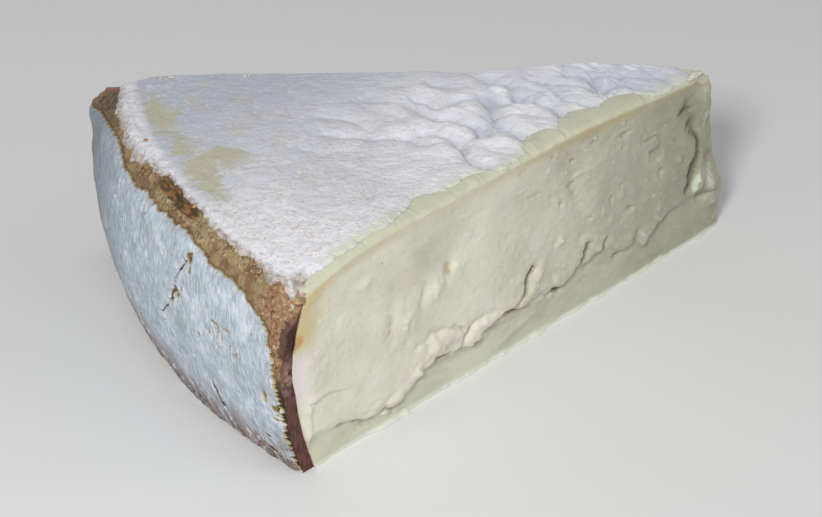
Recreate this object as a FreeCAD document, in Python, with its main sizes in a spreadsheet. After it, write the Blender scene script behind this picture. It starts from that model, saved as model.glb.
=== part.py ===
import FreeCAD, Part
import math
import os
import Sketcher

# A wedge, about an eighth, of a soft white-mould cheese that ripened in a band of spruce bark.
# Two pieces: the cheese itself, paste and rind in one, and the stretch of bark band still
# wrapped round its heel.  The bark sits on the heel with a hair's clearance.
# +X runs from heel to tip and +Z up, with the origin under the middle of the wedge.
# Until they are placed, both pieces are drawn about the upright line where the cuts cross.

DRIVING_SIZES = (
    ("wedge_angle", 43.3, "angle between the two knife cuts, in degrees"),
    ("wheel_radius", 145.4, "wheel centre to the bark's outer face where it bulges most"),
    ("centre_ahead", 3.1, "wheel centre beyond the line where the cuts cross"),
    ("centre_aside", 10.8, "wheel centre to the far side of that line"),
    ("rim_height", 48.0, "height of the cheese at its rim"),
    ("belly_height", 26.5, "height at which the heel bulges most"),
    ("barrel_radius", 62.0, "radius of the heel's bulge, seen in section"),
    ("bark_thickness", 3.8, "thickness of the bark"),
    ("bark_clearance", 0.15, "clearance between the heel and the bark"),
    ("bark_drop", 0.4, "how far the bark's top edge stays below the rim"),
    ("bark_top_width", 0.9, "flat left on the bark's top edge"),
    ("shoulder_drop", 9.0, "height of the bark's worn, rounded shoulder"),
    ("dome_rise", 4.4, "rise of the top above the rim, at the near cut"),
    ("far_dome_rise", 0.9, "the same at the far cut"),
    ("tip_hump", 2.6, "rise of a hump beside the far cut, towards the tip"),
    ("tip_rise", 1.4, "how far the very tip of the top stands up"),
    ("fold_depth", 2.2, "depth of the creases in the wrinkled rind"),
    ("fold_width", 2.6, "half width of a crease"),
    ("coat_thickness", 1.5, "thickness of the mould coat where it is cut"),
    ("bevel_width", 2.4, "width of the pressed rind edge along the near cut"),
    ("ledge_height", 10.0, "mean height of the tear above the bottom rind"),
    ("ledge_wave", 1.6, "how far the tear wanders up and down"),
    ("ledge_depth", 1.3, "depth of the groove along the tear"),
    ("paste_bulge", 1.4, "how far the soft paste leans out over the tear"),
    ("tip_round", 3.0, "where the tip starts to round, back from the crossing, at the top"),
    ("toe_round", 6.5, "the same at the foot"),
    ("tip_reach", 2.7, "how far the tip's top runs out past the crossing of the cuts"),
    ("toe_reach", 14.0, "the same at the tip's foot"),
    ("lump_reach", 2.6, "how far a lump of paste stands out of the tip"),
    ("lump_height", 13.0, "height of the lump's middle"),
)

# Creases of the top.  Each is its depth as a share of fold_depth, then a chain of points:
# share of the way from tip to heel, share of the way from the near cut to the far one.
CREASES = (
    (0.35, ((0.70, 0.68), (0.64, 0.55))),
    (0.35, ((0.70, 0.54), (0.575, 0.36))),
    (0.90, ((0.53, 0.68), (0.465, 0.46), (0.42, 0.14))),
    (0.55, ((0.51, 0.77), (0.44, 0.34))),
    (0.90, ((0.48, 0.74), (0.40, 0.60), (0.32, 0.18))),
    (0.60, ((0.52, 0.42), (0.55, 0.03))),
    (0.60, ((0.41, 0.86), (0.35, 0.64))),
    (0.95, ((0.35, 0.64), (0.25, 0.30))),
    (0.85, ((0.30, 0.80), (0.21, 0.41))),
    (1.00, ((0.24, 0.91), (0.18, 0.50), (0.12, 0.05))),
    (0.80, ((0.19, 0.81), (0.08, 0.10))),
    (0.60, ((0.20, 0.31), (0.15, 0.04))),
)

# Scallops where the coat broke away along the near cut: share of the way from tip to heel,
# half length, extra width.
SCALLOPS = (
    (0.20, 9.0, 5.5),
    (0.345, 4.0, 3.5),
    (0.41, 4.0, 4.5),
    (0.65, 3.5, 4.0),
)

# Torn lumps (outward) and dents (inward) of the near cut: share of the way from tip to heel,
# height as a share of the rim, half length, half height, how far it stands out.
LUMPS = (
    (0.73, 0.28, 6.0, 3.5, 1.6),
    (0.62, 0.27, 7.0, 2.5, 1.2),
    (0.50, 0.27, 5.0, 2.6, 1.3),
    (0.24, 0.30, 5.0, 3.0, 1.1),
    (0.67, 0.70, 3.5, 2.6, 0.9),
    (0.70, 0.55, 3.5, 2.6, 1.0),
    (0.80, 0.57, 3.5, 2.6, 0.9),
    (0.32, 0.68, 3.0, 7.0, -0.9),
    (0.04, 0.50, 2.5, 6.0, -1.6),
)

# The skin of the cheese is six faces over a net of this many rows, columns and layers.  The
# first columns keep these distances from the near cut, so that the bevel stays crisp.
ROWS = 48
COLUMNS = 30
LAYERS = 22
EDGE_COLUMNS = (0.0, 0.9, 1.9, 3.1, 4.8, 7.0)
NEAR, FAR = 0, COLUMNS - 1
TIP, HEEL = 0, ROWS - 1
FOOT, TOP = 0, LAYERS - 1

document = FreeCAD.newDocument("VacherinWedge")


def make_sheet():
    """Put the driving sizes into a spreadsheet, one alias each."""
    sheet = document.addObject("Spreadsheet::Sheet", "Sizes")
    for row, (alias, value, meaning) in enumerate(DRIVING_SIZES, start=1):
        sheet.set(f"A{row}", alias)
        sheet.set(f"B{row}", str(value))
        sheet.set(f"C{row}", meaning)
        sheet.setAlias(f"B{row}", alias)
    document.recompute()
    return sheet


sheet = make_sheet()
size = {alias: float(sheet.get(alias)) for alias, _, _ in DRIVING_SIZES}


def blend(low, high, value):
    """Smooth step from 0 at low to 1 at high."""
    share = min(max((value - low) / (high - low), 0.0), 1.0)
    return share * share * (3.0 - 2.0 * share)


def bump(distance, half_width):
    """A rounded hump of height 1 that fades over half_width."""
    return math.exp(-((distance / half_width) ** 2))


def mix(first, second, share):
    """What lies a share of the way from first to second."""
    return first + (second - first) * share


# ------------------------------------------------------------------ plan of the wedge

half_angle = math.radians(size["wedge_angle"] / 2.0)
wheel_centre = FreeCAD.Vector(size["centre_ahead"], size["centre_aside"], 0.0)
near_cut = FreeCAD.Vector(-math.cos(half_angle), -math.sin(half_angle), 0.0)
far_cut = FreeCAD.Vector(-math.cos(half_angle), math.sin(half_angle), 0.0)
near_outward = FreeCAD.Vector(math.sin(half_angle), -math.cos(half_angle), 0.0)
far_outward = FreeCAD.Vector(math.sin(half_angle), math.cos(half_angle), 0.0)


def heel_radius(height):
    """Radius of the barrel-shaped heel about the wheel centre."""
    barrel = size["barrel_radius"]
    belly = size["wheel_radius"] - size["bark_thickness"] - size["bark_clearance"]
    return belly - barrel + math.sqrt(barrel ** 2 - (height - size["belly_height"]) ** 2)


def heel_corner(cut, height):
    """Where a cut meets the heel."""
    along = cut.dot(wheel_centre)
    aside = wheel_centre.Length ** 2 - along ** 2
    return cut * (along + math.sqrt(heel_radius(height) ** 2 - aside))


def heel_point(across, height):
    """Point of the heel, a share of the way from the near cut to the far one."""
    near = heel_corner(near_cut, height) - wheel_centre
    far = heel_corner(far_cut, height) - wheel_centre
    start = math.atan2(near.y, near.x) % math.tau
    end = math.atan2(far.y, far.x) % math.tau
    angle = mix(start, end, across)
    arm = FreeCAD.Vector(math.cos(angle), math.sin(angle), 0.0)
    return wheel_centre + arm * heel_radius(height)


def tip_point(across, height):
    """Point of the rounded tip, whose foot runs out into a toe below a lump of paste."""
    rise = height / size["rim_height"]
    reach = mix(size["toe_reach"], size["tip_reach"], rise)
    reach += size["lump_reach"] * bump(height - size["lump_height"], 5.5)
    back = mix(size["toe_round"], size["tip_round"], rise)
    corner = near_cut * -reach
    start = corner + near_cut * back
    end = corner + far_cut * back
    rest = 1.0 - across
    return start * rest ** 3 + corner * (3.0 * rest * across) + end * across ** 3


def plan_point(along, across, height):
    """Point at a height, by shares along from the tip and across from the near cut."""
    return mix(tip_point(across, height), heel_point(across, height), along)


cut_length = heel_corner(near_cut, size["rim_height"]).Length
heel_width = (heel_point(0.0, 0.0) - heel_point(1.0, 0.0)).Length


# ------------------------------------------------------------------ cheese

def distance_to_chain(point, chain):
    """Distance in plan from a point to a chain of straight runs."""
    nearest = math.inf
    for start, end in zip(chain, chain[1:]):
        run = end - start
        share = min(max((point - start).dot(run) / run.dot(run), 0.0), 1.0)
        nearest = min(nearest, (point - start - run * share).Length)
    return nearest


def crease_chains():
    """The creases in plan, each with its depth."""
    rim = size["rim_height"]
    for share, chain in CREASES:
        yield share * size["fold_depth"], [plan_point(*spot, rim) for spot in chain]


creases = list(crease_chains())


def top_height(along, across):
    """Height of the top: a dome with creases, pressed down along the near cut."""
    point = plan_point(along, across, size["rim_height"])
    dome = 1.0 - (2.0 * along ** 1.4 - 1.0) ** 4
    height = size["rim_height"] + dome * mix(size["dome_rise"], size["far_dome_rise"], across)
    height += size["tip_hump"] * across * bump(along - 0.20, 0.16)
    height += size["tip_rise"] * (1.0 - along) ** 8
    inland = abs(point.dot(near_outward))
    rim_fade = 1.0 - blend(0.9, 1.0, along)
    for depth, chain in creases:
        depth_here = depth * blend(0.0, 4.0, inland) * rim_fade
        height -= depth_here * bump(distance_to_chain(point, chain), size["fold_width"])
    bevel = size["bevel_width"]
    for share, half_length, extra in SCALLOPS:
        bevel += extra * bump((along - share) * cut_length, half_length)
    pressed = 1.0 - 0.4 * min(inland / bevel, 1.0)
    return height - size["coat_thickness"] * pressed * (1.0 - blend(bevel, bevel + 1.2, inland))


def near_relief(along, height):
    """How far the near cut stands out: paste slumped over a tear, with lumps and dents."""
    ledge = size["ledge_height"] + size["ledge_wave"] * math.sin(math.tau * (along - 0.23) / 0.215)
    ledge -= 0.4 * size["ledge_height"] * bump(along - 0.80, 0.07)
    above = height - ledge
    torn = blend(0.03, 0.10, along) * (1.0 - blend(0.84, 0.94, along))
    relief = size["paste_bulge"] * blend(-0.6, 2.0, above) * (1.0 - blend(8.0, 34.0, above))
    relief -= size["ledge_depth"] * bump(above, 1.5) * torn
    for share, level, half_length, half_height, out in LUMPS:
        beside = bump((along - share) * cut_length, half_length)
        relief += out * beside * bump(height - level * size["rim_height"], half_height)
    relief += 0.35 * math.sin(17.0 * along + 0.09 * height) * math.sin(0.13 * height + 2.0)
    return relief


def far_relief(along, height):
    """The far cut only slumps a little, in broad soft waves."""
    slump = 0.5 * size["paste_bulge"] * math.sin(math.pi * height / size["rim_height"])
    return slump * (1.0 + 0.5 * math.sin(11.0 * along + 0.12 * height))


def edge_fade(along, level):
    """Relief fades out towards the four edges of a cut."""
    lengthwise = blend(0.0, 0.04, along) * (1.0 - blend(0.95, 1.0, along))
    return lengthwise * blend(0.0, 0.07, level) * (1.0 - blend(0.92, 1.0, level))


def share_across(row, column):
    """Share of the way across for a column: set distances near the cut, then even steps."""
    width = mix(size["tip_round"], heel_width, row / HEEL)
    last = len(EDGE_COLUMNS) - 1
    even = column / FAR
    if column <= last:
        return min(EDGE_COLUMNS[column] / width, even)
    start = min(EDGE_COLUMNS[last] / width, last / FAR)
    return mix(start, 1.0, (column - last) / (FAR - last))


def net_point(row, column, layer):
    """Point of the cheese's net by its row, column and layer."""
    along = row / HEEL
    across = share_across(row, column)
    level = layer / TOP
    height = level * top_height(along, across)
    point = plan_point(along, across, height)
    if column == NEAR:
        point += near_outward * (near_relief(along, height) * edge_fade(along, level))
    if column == FAR:
        point += far_outward * (far_relief(along, height) * edge_fade(along, level))
    return point + FreeCAD.Vector(0.0, 0.0, height)


def clamped_knots(count):
    """Knots and multiplicities of a clamped, even cubic spline over count poles."""
    knots = [float(knot) for knot in range(count - 2)]
    return knots, [4] + [1] * (count - 4) + [4]


def skin_face(net):
    """Smooth face over a net of points."""
    row_knots, row_repeats = clamped_knots(len(net))
    column_knots, column_repeats = clamped_knots(len(net[0]))
    surface = Part.BSplineSurface()
    surface.buildFromPolesMultsKnots(
        net, row_repeats, column_repeats, row_knots, column_knots, False, False, 3, 3)
    return surface.toShape()


def skin_edge(points):
    """Smooth edge over a row of points."""
    knots, repeats = clamped_knots(len(points))
    curve = Part.BSplineCurve()
    curve.buildFromPolesMultsKnots(points, repeats, knots, False, 3)
    return curve.toShape()


def cheese_shape():
    """The cheese as one solid: top, two cuts, heel, rounded tip and flat bottom."""
    rows, columns, layers = range(ROWS), range(COLUMNS), range(LAYERS)
    nets = (
        [[net_point(row, column, TOP) for column in columns] for row in rows],
        [[net_point(row, NEAR, layer) for layer in layers] for row in rows],
        [[net_point(row, FAR, layer) for layer in layers] for row in rows],
        [[net_point(HEEL, column, layer) for layer in layers] for column in columns],
        [[net_point(TIP, column, layer) for layer in layers] for column in columns],
    )
    outline = (
        [net_point(row, NEAR, FOOT) for row in rows],
        [net_point(HEEL, column, FOOT) for column in columns],
        [net_point(row, FAR, FOOT) for row in reversed(rows)],
        [net_point(TIP, column, FOOT) for column in reversed(columns)],
    )
    bottom = Part.Face(Part.Wire([skin_edge(points) for points in outline]))
    shell = Part.Shell([skin_face(net) for net in nets] + [bottom])
    shell.sewShape()
    solid = Part.Solid(shell)
    return solid if solid.Volume > 0.0 else solid.reversed()


cheese = document.addObject("Part::Feature", "Cheese")
cheese.Label = "cheese"
cheese.Shape = cheese_shape()


# ------------------------------------------------------------------ bark strap

def bind(sketch, constraint, name, formula):
    """Add a constraint whose value follows a formula of the sheet's cells."""
    index = sketch.addConstraint(constraint)
    sketch.renameConstraint(index, name)
    sketch.setExpression(f"Constraints.{name}", formula)


def body_plane(body, role):
    """One of a body's own origin planes."""
    return next(item for item in body.Origin.OriginFeatures if item.Role == role)


def arc(centre, radius, start, end):
    """Arc of the profile between two of its points, counterclockwise."""
    axis = FreeCAD.Vector(0.0, 0.0, 1.0)
    first = math.atan2(start.y - centre.y, start.x - centre.x) % math.tau
    last = math.atan2(end.y - centre.y, end.x - centre.x) % math.tau
    return Part.ArcOfCircle(Part.Circle(centre, axis, radius), first, last)


def draw_bark_profile(sketch):
    """Section of the bark: two concentric arcs, a worn shoulder, a thin top edge."""
    inner = size["barrel_radius"]
    outer = inner + size["bark_thickness"]
    top = size["rim_height"] - size["bark_drop"]
    shoulder = top - size["shoulder_drop"]
    hub = FreeCAD.Vector(outer - size["wheel_radius"], size["belly_height"], 0.0)

    def on_arc(radius, height):
        """Point of a barrel arc at a height."""
        depth = math.sqrt(radius ** 2 - (height - hub.y) ** 2)
        return FreeCAD.Vector(hub.x - depth, height, 0.0)

    inner_foot, inner_top = on_arc(inner, 0.0), on_arc(inner, top)
    outer_foot, outer_top = on_arc(outer, 0.0), on_arc(outer, shoulder)
    lip = inner_top - FreeCAD.Vector(size["bark_top_width"], 0.0, 0.0)
    inward = (hub - outer_top).normalize()
    chord = lip - outer_top
    worn = chord.dot(chord) / (2.0 * chord.dot(inward))
    inner_arc, outer_arc, worn_arc, foot_line, top_line = sketch.addGeometry([
        arc(hub, inner, inner_top, inner_foot),
        arc(hub, outer, outer_top, outer_foot),
        arc(outer_top + inward * worn, worn, lip, outer_top),
        Part.LineSegment(outer_foot, inner_foot),
        Part.LineSegment(inner_top, lip),
    ])
    rule = Sketcher.Constraint
    sketch.addConstraint([
        rule("Coincident", inner_arc, 3, outer_arc, 3),
        rule("Coincident", outer_arc, 2, foot_line, 1),
        rule("Coincident", foot_line, 2, inner_arc, 2),
        rule("Coincident", inner_arc, 1, top_line, 1),
        rule("Coincident", top_line, 2, worn_arc, 1),
        rule("Tangent", worn_arc, 2, outer_arc, 1),
        rule("PointOnObject", outer_arc, 2, -1),
        rule("PointOnObject", inner_arc, 2, -1),
        rule("Horizontal", top_line),
    ])
    bind(sketch, rule("Radius", inner_arc, inner), "InnerArc", "Sizes.barrel_radius")
    bind(sketch, rule("Radius", outer_arc, outer), "OuterArc",
         "Sizes.barrel_radius + Sizes.bark_thickness")
    bind(sketch, rule("DistanceX", inner_arc, 3, -1, 1, -hub.x), "HubReach",
         "Sizes.wheel_radius - Sizes.bark_thickness - Sizes.barrel_radius")
    bind(sketch, rule("DistanceY", -1, 1, inner_arc, 3, hub.y), "HubHeight", "Sizes.belly_height")
    bind(sketch, rule("DistanceY", -1, 1, inner_arc, 1, top), "TopEdge",
         "Sizes.rim_height - Sizes.bark_drop")
    bind(sketch, rule("DistanceY", -1, 1, outer_arc, 1, shoulder), "Shoulder",
         "Sizes.rim_height - Sizes.bark_drop - Sizes.shoulder_drop")
    bind(sketch, rule("DistanceX", top_line, 2, top_line, 1, size["bark_top_width"]),
         "TopWidth", "Sizes.bark_top_width")


def draw_knife_cuts(sketch):
    """Outline of all that the two knife cuts take away, drawn about the wheel centre."""
    far_out = 2.0 * size["wheel_radius"]
    apex = FreeCAD.Vector(-size["centre_ahead"], -size["centre_aside"], 0.0)
    run = "2 * Sizes.wheel_radius"
    side = f"{run} * sin(Sizes.wedge_angle * 0.5deg)"
    back = f"{run} * cos(Sizes.wedge_angle * 0.5deg)"
    corners = (
        (apex, "Sizes.centre_ahead", "Sizes.centre_aside"),
        (apex + near_cut * far_out, f"Sizes.centre_ahead + {back}", f"Sizes.centre_aside + {side}"),
        (FreeCAD.Vector(-far_out, -far_out, 0.0), run, run),
        (FreeCAD.Vector(far_out, -far_out, 0.0), f"-{run}", run),
        (FreeCAD.Vector(far_out, far_out, 0.0), f"-{run}", f"-{run}"),
        (FreeCAD.Vector(-far_out, far_out, 0.0), run, f"-{run}"),
        (apex + far_cut * far_out, f"Sizes.centre_ahead + {back}", f"Sizes.centre_aside - {side}"),
    )
    points = [corner[0] for corner in corners]
    ends = points[1:] + points[:1]
    lines = sketch.addGeometry([Part.LineSegment(*pair) for pair in zip(points, ends)])
    rule = Sketcher.Constraint
    for line, following in zip(lines, lines[1:] + lines[:1]):
        sketch.addConstraint(rule("Coincident", line, 2, following, 1))
    for line, (point, left, below) in zip(lines, corners):
        bind(sketch, rule("DistanceX", line, 1, -1, 1, -point.x), f"Left{line}", left)
        bind(sketch, rule("DistanceY", line, 1, -1, 1, -point.y), f"Below{line}", below)


def make_bark_strap():
    """The bark: its section turned round the wheel's axis, then trimmed by both cuts."""
    body = document.addObject("PartDesign::Body", "BarkStrap")
    body.Label = "bark_strap"
    section = body.newObject("Sketcher::SketchObject", "BarkSection")
    section.AttachmentSupport = (body_plane(body, "XZ_Plane"), [""])
    section.MapMode = "FlatFace"
    draw_bark_profile(section)
    band = body.newObject("PartDesign::Revolution", "BarkBand")
    band.Profile = section
    band.ReferenceAxis = (section, ["V_Axis"])
    band.Midplane = True
    band.setExpression("Angle", "Sizes.wedge_angle * 1.5")
    document.recompute()
    whole_band = band.Shape.Volume
    cuts = body.newObject("Sketcher::SketchObject", "KnifeCuts")
    cuts.AttachmentSupport = (body_plane(body, "XY_Plane"), [""])
    cuts.MapMode = "FlatFace"
    draw_knife_cuts(cuts)
    trim = body.newObject("PartDesign::Pocket", "BarkTrim")
    trim.Profile = cuts
    trim.Type = "ThroughAll"
    trim.Midplane = True
    document.recompute()
    assert 0.0 < trim.Shape.Volume < whole_band, "the knife cuts don't trim the bark"
    return body


bark_strap = make_bark_strap()


# ------------------------------------------------------------------ placement and files

def place_on_origin():
    """Move both pieces so that the origin lies under the middle of the whole."""
    bark_strap.Placement.Base = wheel_centre
    document.recompute()
    whole = Part.Compound([cheese.Shape, bark_strap.Shape]).optimalBoundingBox(False, False)
    shift = FreeCAD.Vector(-whole.Center.x, -whole.Center.y, -whole.ZMin)
    cheese.Placement.Base = shift
    bark_strap.Placement.Base = wheel_centre + shift
    document.recompute()


def check_document():
    """Stop if any object failed or a piece isn't a sound solid."""
    for item in document.Objects:
        assert not {"Invalid", "Error"} & set(item.State), f"{item.Label} failed"
    for piece in (cheese, bark_strap):
        assert not piece.Shape.isNull() and piece.Shape.isValid(), f"{piece.Label} is unsound"
        assert len(piece.Shape.Solids) == 1, f"{piece.Label} isn't one solid"


place_on_origin()
check_document()
os.makedirs("parts", exist_ok=True)
for piece in (cheese, bark_strap):
    piece.Shape.exportStep(f"parts/{piece.Label}.step")
    print(piece.Label, round(piece.Shape.Volume / 1000.0, 1), "cubic centimetres")
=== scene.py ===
import math

import bpy
import numpy as np
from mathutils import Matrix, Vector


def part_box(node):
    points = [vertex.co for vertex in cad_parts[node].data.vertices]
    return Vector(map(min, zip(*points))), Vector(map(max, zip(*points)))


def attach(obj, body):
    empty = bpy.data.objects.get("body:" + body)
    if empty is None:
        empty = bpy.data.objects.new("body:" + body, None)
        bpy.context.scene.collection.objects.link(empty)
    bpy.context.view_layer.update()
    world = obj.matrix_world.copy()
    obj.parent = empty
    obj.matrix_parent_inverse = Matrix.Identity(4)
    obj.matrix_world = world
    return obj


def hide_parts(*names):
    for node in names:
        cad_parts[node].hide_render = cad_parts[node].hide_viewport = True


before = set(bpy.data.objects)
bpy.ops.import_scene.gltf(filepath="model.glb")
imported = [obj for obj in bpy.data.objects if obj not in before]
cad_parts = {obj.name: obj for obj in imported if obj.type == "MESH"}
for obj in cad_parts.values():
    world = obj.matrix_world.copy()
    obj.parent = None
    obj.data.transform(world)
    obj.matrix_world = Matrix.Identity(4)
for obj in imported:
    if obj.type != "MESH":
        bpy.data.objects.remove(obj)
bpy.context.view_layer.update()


# ---------------------------------------------------------------- paste
# The wedge of soft paste.  A knife has cut both sides; the near one slumps and has torn in a
# ragged line above the bottom rind.  It is a block cut into small squares, whose points are
# then moved to their places on the wedge, as the cheesemaker's wheel and the knife gave them.

# Sizes in millimetres, about the upright line where the two cuts cross.
WEDGE_ANGLE = math.radians(43.3)
WHEEL_CENTRE = np.array((3.1, 10.8))
WHEEL_RADIUS = 145.4
RIM_HEIGHT = 48.0
BELLY_HEIGHT = 26.5
BARREL_RADIUS = 62.0
BARK_THICKNESS = 3.8
BARK_GAP = 0.15
DOME_RISE = 4.4
FAR_DOME_RISE = 0.9
FAR_SAG = 3.0
FAR_SAG_WIDTH = 8.5
NEAR_SAG = 2.4
NEAR_SAG_WIDTH = 3.4
TIP_HUMP = 2.2
TIP_ROUND = 3.0
TOE_ROUND = 6.5
TIP_REACH = 2.7
TOE_REACH = 14.0
COAT_THICKNESS = 1.2
MILLIMETRE = 0.001

HEEL_REACH = WHEEL_RADIUS - BARK_THICKNESS - BARK_GAP
NEAR_CUT = np.array((-math.cos(WEDGE_ANGLE / 2), -math.sin(WEDGE_ANGLE / 2)))
FAR_CUT = np.array((-math.cos(WEDGE_ANGLE / 2), math.sin(WEDGE_ANGLE / 2)))
NEAR_OUTWARD = np.array((math.sin(WEDGE_ANGLE / 2), -math.cos(WEDGE_ANGLE / 2)))
FAR_OUTWARD = np.array((math.sin(WEDGE_ANGLE / 2), math.cos(WEDGE_ANGLE / 2)))


def mix(first, second, share):
    return first + (second - first) * share


def step(low, high, value):
    """Smooth step from 0 at low to 1 at high."""
    share = np.clip((value - low) / (high - low), 0.0, 1.0)
    return share * share * (3.0 - 2.0 * share)


def fall(low, high, value):
    """Smooth step from 1 at low to 0 at high."""
    return 1.0 - step(low, high, value)


def span(low, low_end, high, high_end, value):
    """1 between low_end and high, fading to 0 at low and at high_end."""
    return step(low, low_end, value) * fall(high, high_end, value)


def hump(distance, half_width):
    return np.exp(-((distance / half_width) ** 2))


def lumpy(points, grain, seed):
    """Soft random relief between -1 and 1 whose lumps are about grain wide."""
    cell = points.reshape(len(points), -1) / grain
    low = np.floor(cell)
    share = cell - low
    share = share * share * (3.0 - 2.0 * share)
    total = np.zeros(len(cell))
    for corner in np.ndindex(*(2,) * cell.shape[1]):
        key = (low + corner) @ np.array((127.1, 311.7, 74.7))[: cell.shape[1]]
        value = np.sin(key + 17.31 * seed) * 43758.5453
        weight = np.prod(np.where(corner, share, 1.0 - share), axis=1)
        total += weight * (value % 1.0)
    return 2.0 * total - 1.0


def lumps(points, *layers):
    """Reliefs laid over each other, each given by its depth, grain and seed."""
    return sum(depth * lumpy(points, grain, seed) for depth, grain, seed in layers)


def rugged(points, grain, seed, layers):
    """Several sizes of soft relief laid over each other."""
    total = 0.0
    for layer in range(layers):
        total = total + lumpy(points, grain / 2.1 ** layer, seed + layer) * 0.55 ** layer
    return total


def stacked(*columns):
    return np.stack(np.broadcast_arrays(*columns), axis=-1)


def wander(points, grain, seed):
    """A soft random shift to either side, in both directions."""
    return stacked(lumpy(points, grain, seed), lumpy(points, grain, seed + 1))


def reach_along(cut, radius):
    """How far from the crossing a cut meets a circle about the wheel's centre."""
    along = cut @ WHEEL_CENTRE
    return along + np.sqrt(radius ** 2 - (WHEEL_CENTRE @ WHEEL_CENTRE - along ** 2))


def barrel(radius, bulge, height):
    """Radius of a barrel-shaped wall about the wheel's centre."""
    return radius - bulge + np.sqrt(bulge ** 2 - (height - BELLY_HEIGHT) ** 2)


def angles_at(radius):
    """Angles about the wheel's centre at which the near and far cuts meet a circle."""
    near = reach_along(NEAR_CUT, radius)[..., None] * NEAR_CUT - WHEEL_CENTRE
    far = reach_along(FAR_CUT, radius)[..., None] * FAR_CUT - WHEEL_CENTRE
    start = np.arctan2(near[..., 1], near[..., 0]) % math.tau
    end = np.arctan2(far[..., 1], far[..., 0]) % math.tau
    return start, end


def heel_point(across, height):
    radius = barrel(HEEL_REACH, BARREL_RADIUS, height)
    start, end = angles_at(radius)
    angle = mix(start, end, across)
    return WHEEL_CENTRE + radius[..., None] * stacked(np.cos(angle), np.sin(angle))


def tip_point(across, height):
    """The rounded tip, whose foot runs out into a toe below a lump of paste."""
    rise = height / RIM_HEIGHT
    reach = mix(TOE_REACH, TIP_REACH, rise) + 2.6 * hump(height - 13.0, 5.5)
    back = mix(TOE_ROUND, TIP_ROUND, rise)
    corner = -reach[..., None] * NEAR_CUT
    start = corner + back[..., None] * NEAR_CUT
    end = corner + back[..., None] * FAR_CUT
    rest = (1.0 - across)[..., None]
    share = across[..., None]
    return start * rest ** 3 + corner * 3.0 * rest * share + end * share ** 3


def plan_point(along, across, height):
    return mix(tip_point(across, height), heel_point(across, height), along[..., None])


HEEL_WIDTH = float(np.linalg.norm(np.diff(heel_point(np.array((0.0, 1.0)), np.zeros(2)), axis=0)))
FAR_CORNER = reach_along(FAR_CUT, HEEL_REACH) * FAR_CUT


def dome(along, across, place):
    """Height of the wheel's top before it wrinkled, sagging at the far corner of the heel."""
    height = RIM_HEIGHT + (1.0 - (2.0 * along ** 1.4 - 1.0) ** 4) * mix(DOME_RISE, FAR_DOME_RISE, across)
    height = height + TIP_HUMP * across * hump(along - 0.20, 0.16)
    height = height + 1.4 * (1.0 - along) ** 8
    sag = np.linalg.norm(place - FAR_CORNER, axis=-1)
    return height - FAR_SAG * hump(sag, FAR_SAG_WIDTH)


# Where the rind wrinkled: depth in millimetres, then how far back from the crossing of the
# cuts and how far to the far side each crease runs.
CREASES = (
    (0.6, ((93, 13), (89, 11), (87, 7), (86, 3))),
    (0.8, ((96, 5), (94, 3), (88, 1), (85, -2), (81, -3), (78, -4), (77, -8))),
    (0.4, ((104, 2), (100, -3), (94, -4), (88, 0))),
    (1.5, ((70, 13), (68, 11), (67, 8), (60, 9), (57, 8), (55, 6), (56, 2), (58, -5))),
    (1.8, ((72, 10), (71, 7), (69, 2), (66, 1), (63, -4), (63, -8), (60, -7), (57, -9), (55, -15))),
    (1.8, ((55, 7), (53, 4), (51, 2), (46, 1), (43, -3), (42, -6), (42, -9))),
    (1.2, ((50, 15), (47, 12), (47, 8), (48, 4), (48, 2))),
    (1.3, ((47, 4), (44, 5), (42, 5), (39, 3), (38, -2), (35, -5), (33, -7))),
    (1.2, ((41, 11), (39, 9), (35, 5), (31, 2), (30, -2))),
    (1.6, ((32, 9), (30, 7), (28, 5), (28, -1), (24, 0), (21, 0), (18, -4), (14, -7))),
    (1.3, ((25, 6), (23, 5), (18, 3), (15, 2), (12, 0), (11, -3), (10, -7))),
    (0.8, ((81, -3), (79, -5), (77, -7), (73, -9))),
    (1.5, ((75, -3), (72, -4), (70, -8), (70, -16), (70, -20), (68, -25))),
    (1.0, ((69, -11), (67, -9), (63, -8))),
    (0.5, ((67, -12), (65, -15), (63, -18), (62, -20))),
    (0.4, ((75, -19), (72, -20), (70, -22), (69, -24))),
    (0.5, ((82, 17), (77, 14), (74, 11))),
    (0.6, ((62, 18), (57, 14), (54, 12))),
)


def to_chain(points, chain):
    """Distance from each point to a chain of straight runs."""
    nearest = np.full(len(points), np.inf)
    for start, end in zip(chain, chain[1:]):
        start, run = np.array(start, float), np.subtract(end, start).astype(float)
        share = np.clip((points - start) @ run / (run @ run), 0.0, 1.0)
        gap = np.linalg.norm(points - start - share[:, None] * run, axis=1)
        nearest = np.minimum(nearest, gap)
    return nearest


def pillows(points, spacing, stretch, slant, seed):
    """Depth, 1 in the creases and 0 on the crowns, of a quilt of uneven pillows."""
    turn = np.array(((math.cos(slant), -math.sin(slant)), (math.sin(slant), math.cos(slant))))
    spots = points @ turn / (np.array((1.0, stretch)) * spacing)
    home = np.floor(spots)
    first = np.full(len(spots), 9.0)
    second = np.full(len(spots), 9.0)
    for offset in np.ndindex(3, 3):
        cell = home + offset - 1.0
        key = cell @ np.array((12.989, 78.233)) + 3.17 * seed
        jitter = stacked(np.sin(key) * 4375.85, np.sin(key + 2.1) * 2358.45)
        centre = cell + 0.5 + 0.42 * (2.0 * (jitter % 1.0) - 1.0)
        gap = np.linalg.norm(spots - centre, axis=1)
        second = np.minimum(second, np.maximum(first, gap))
        first = np.minimum(first, gap)
    return np.exp(-(second - first) / 0.13)


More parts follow.
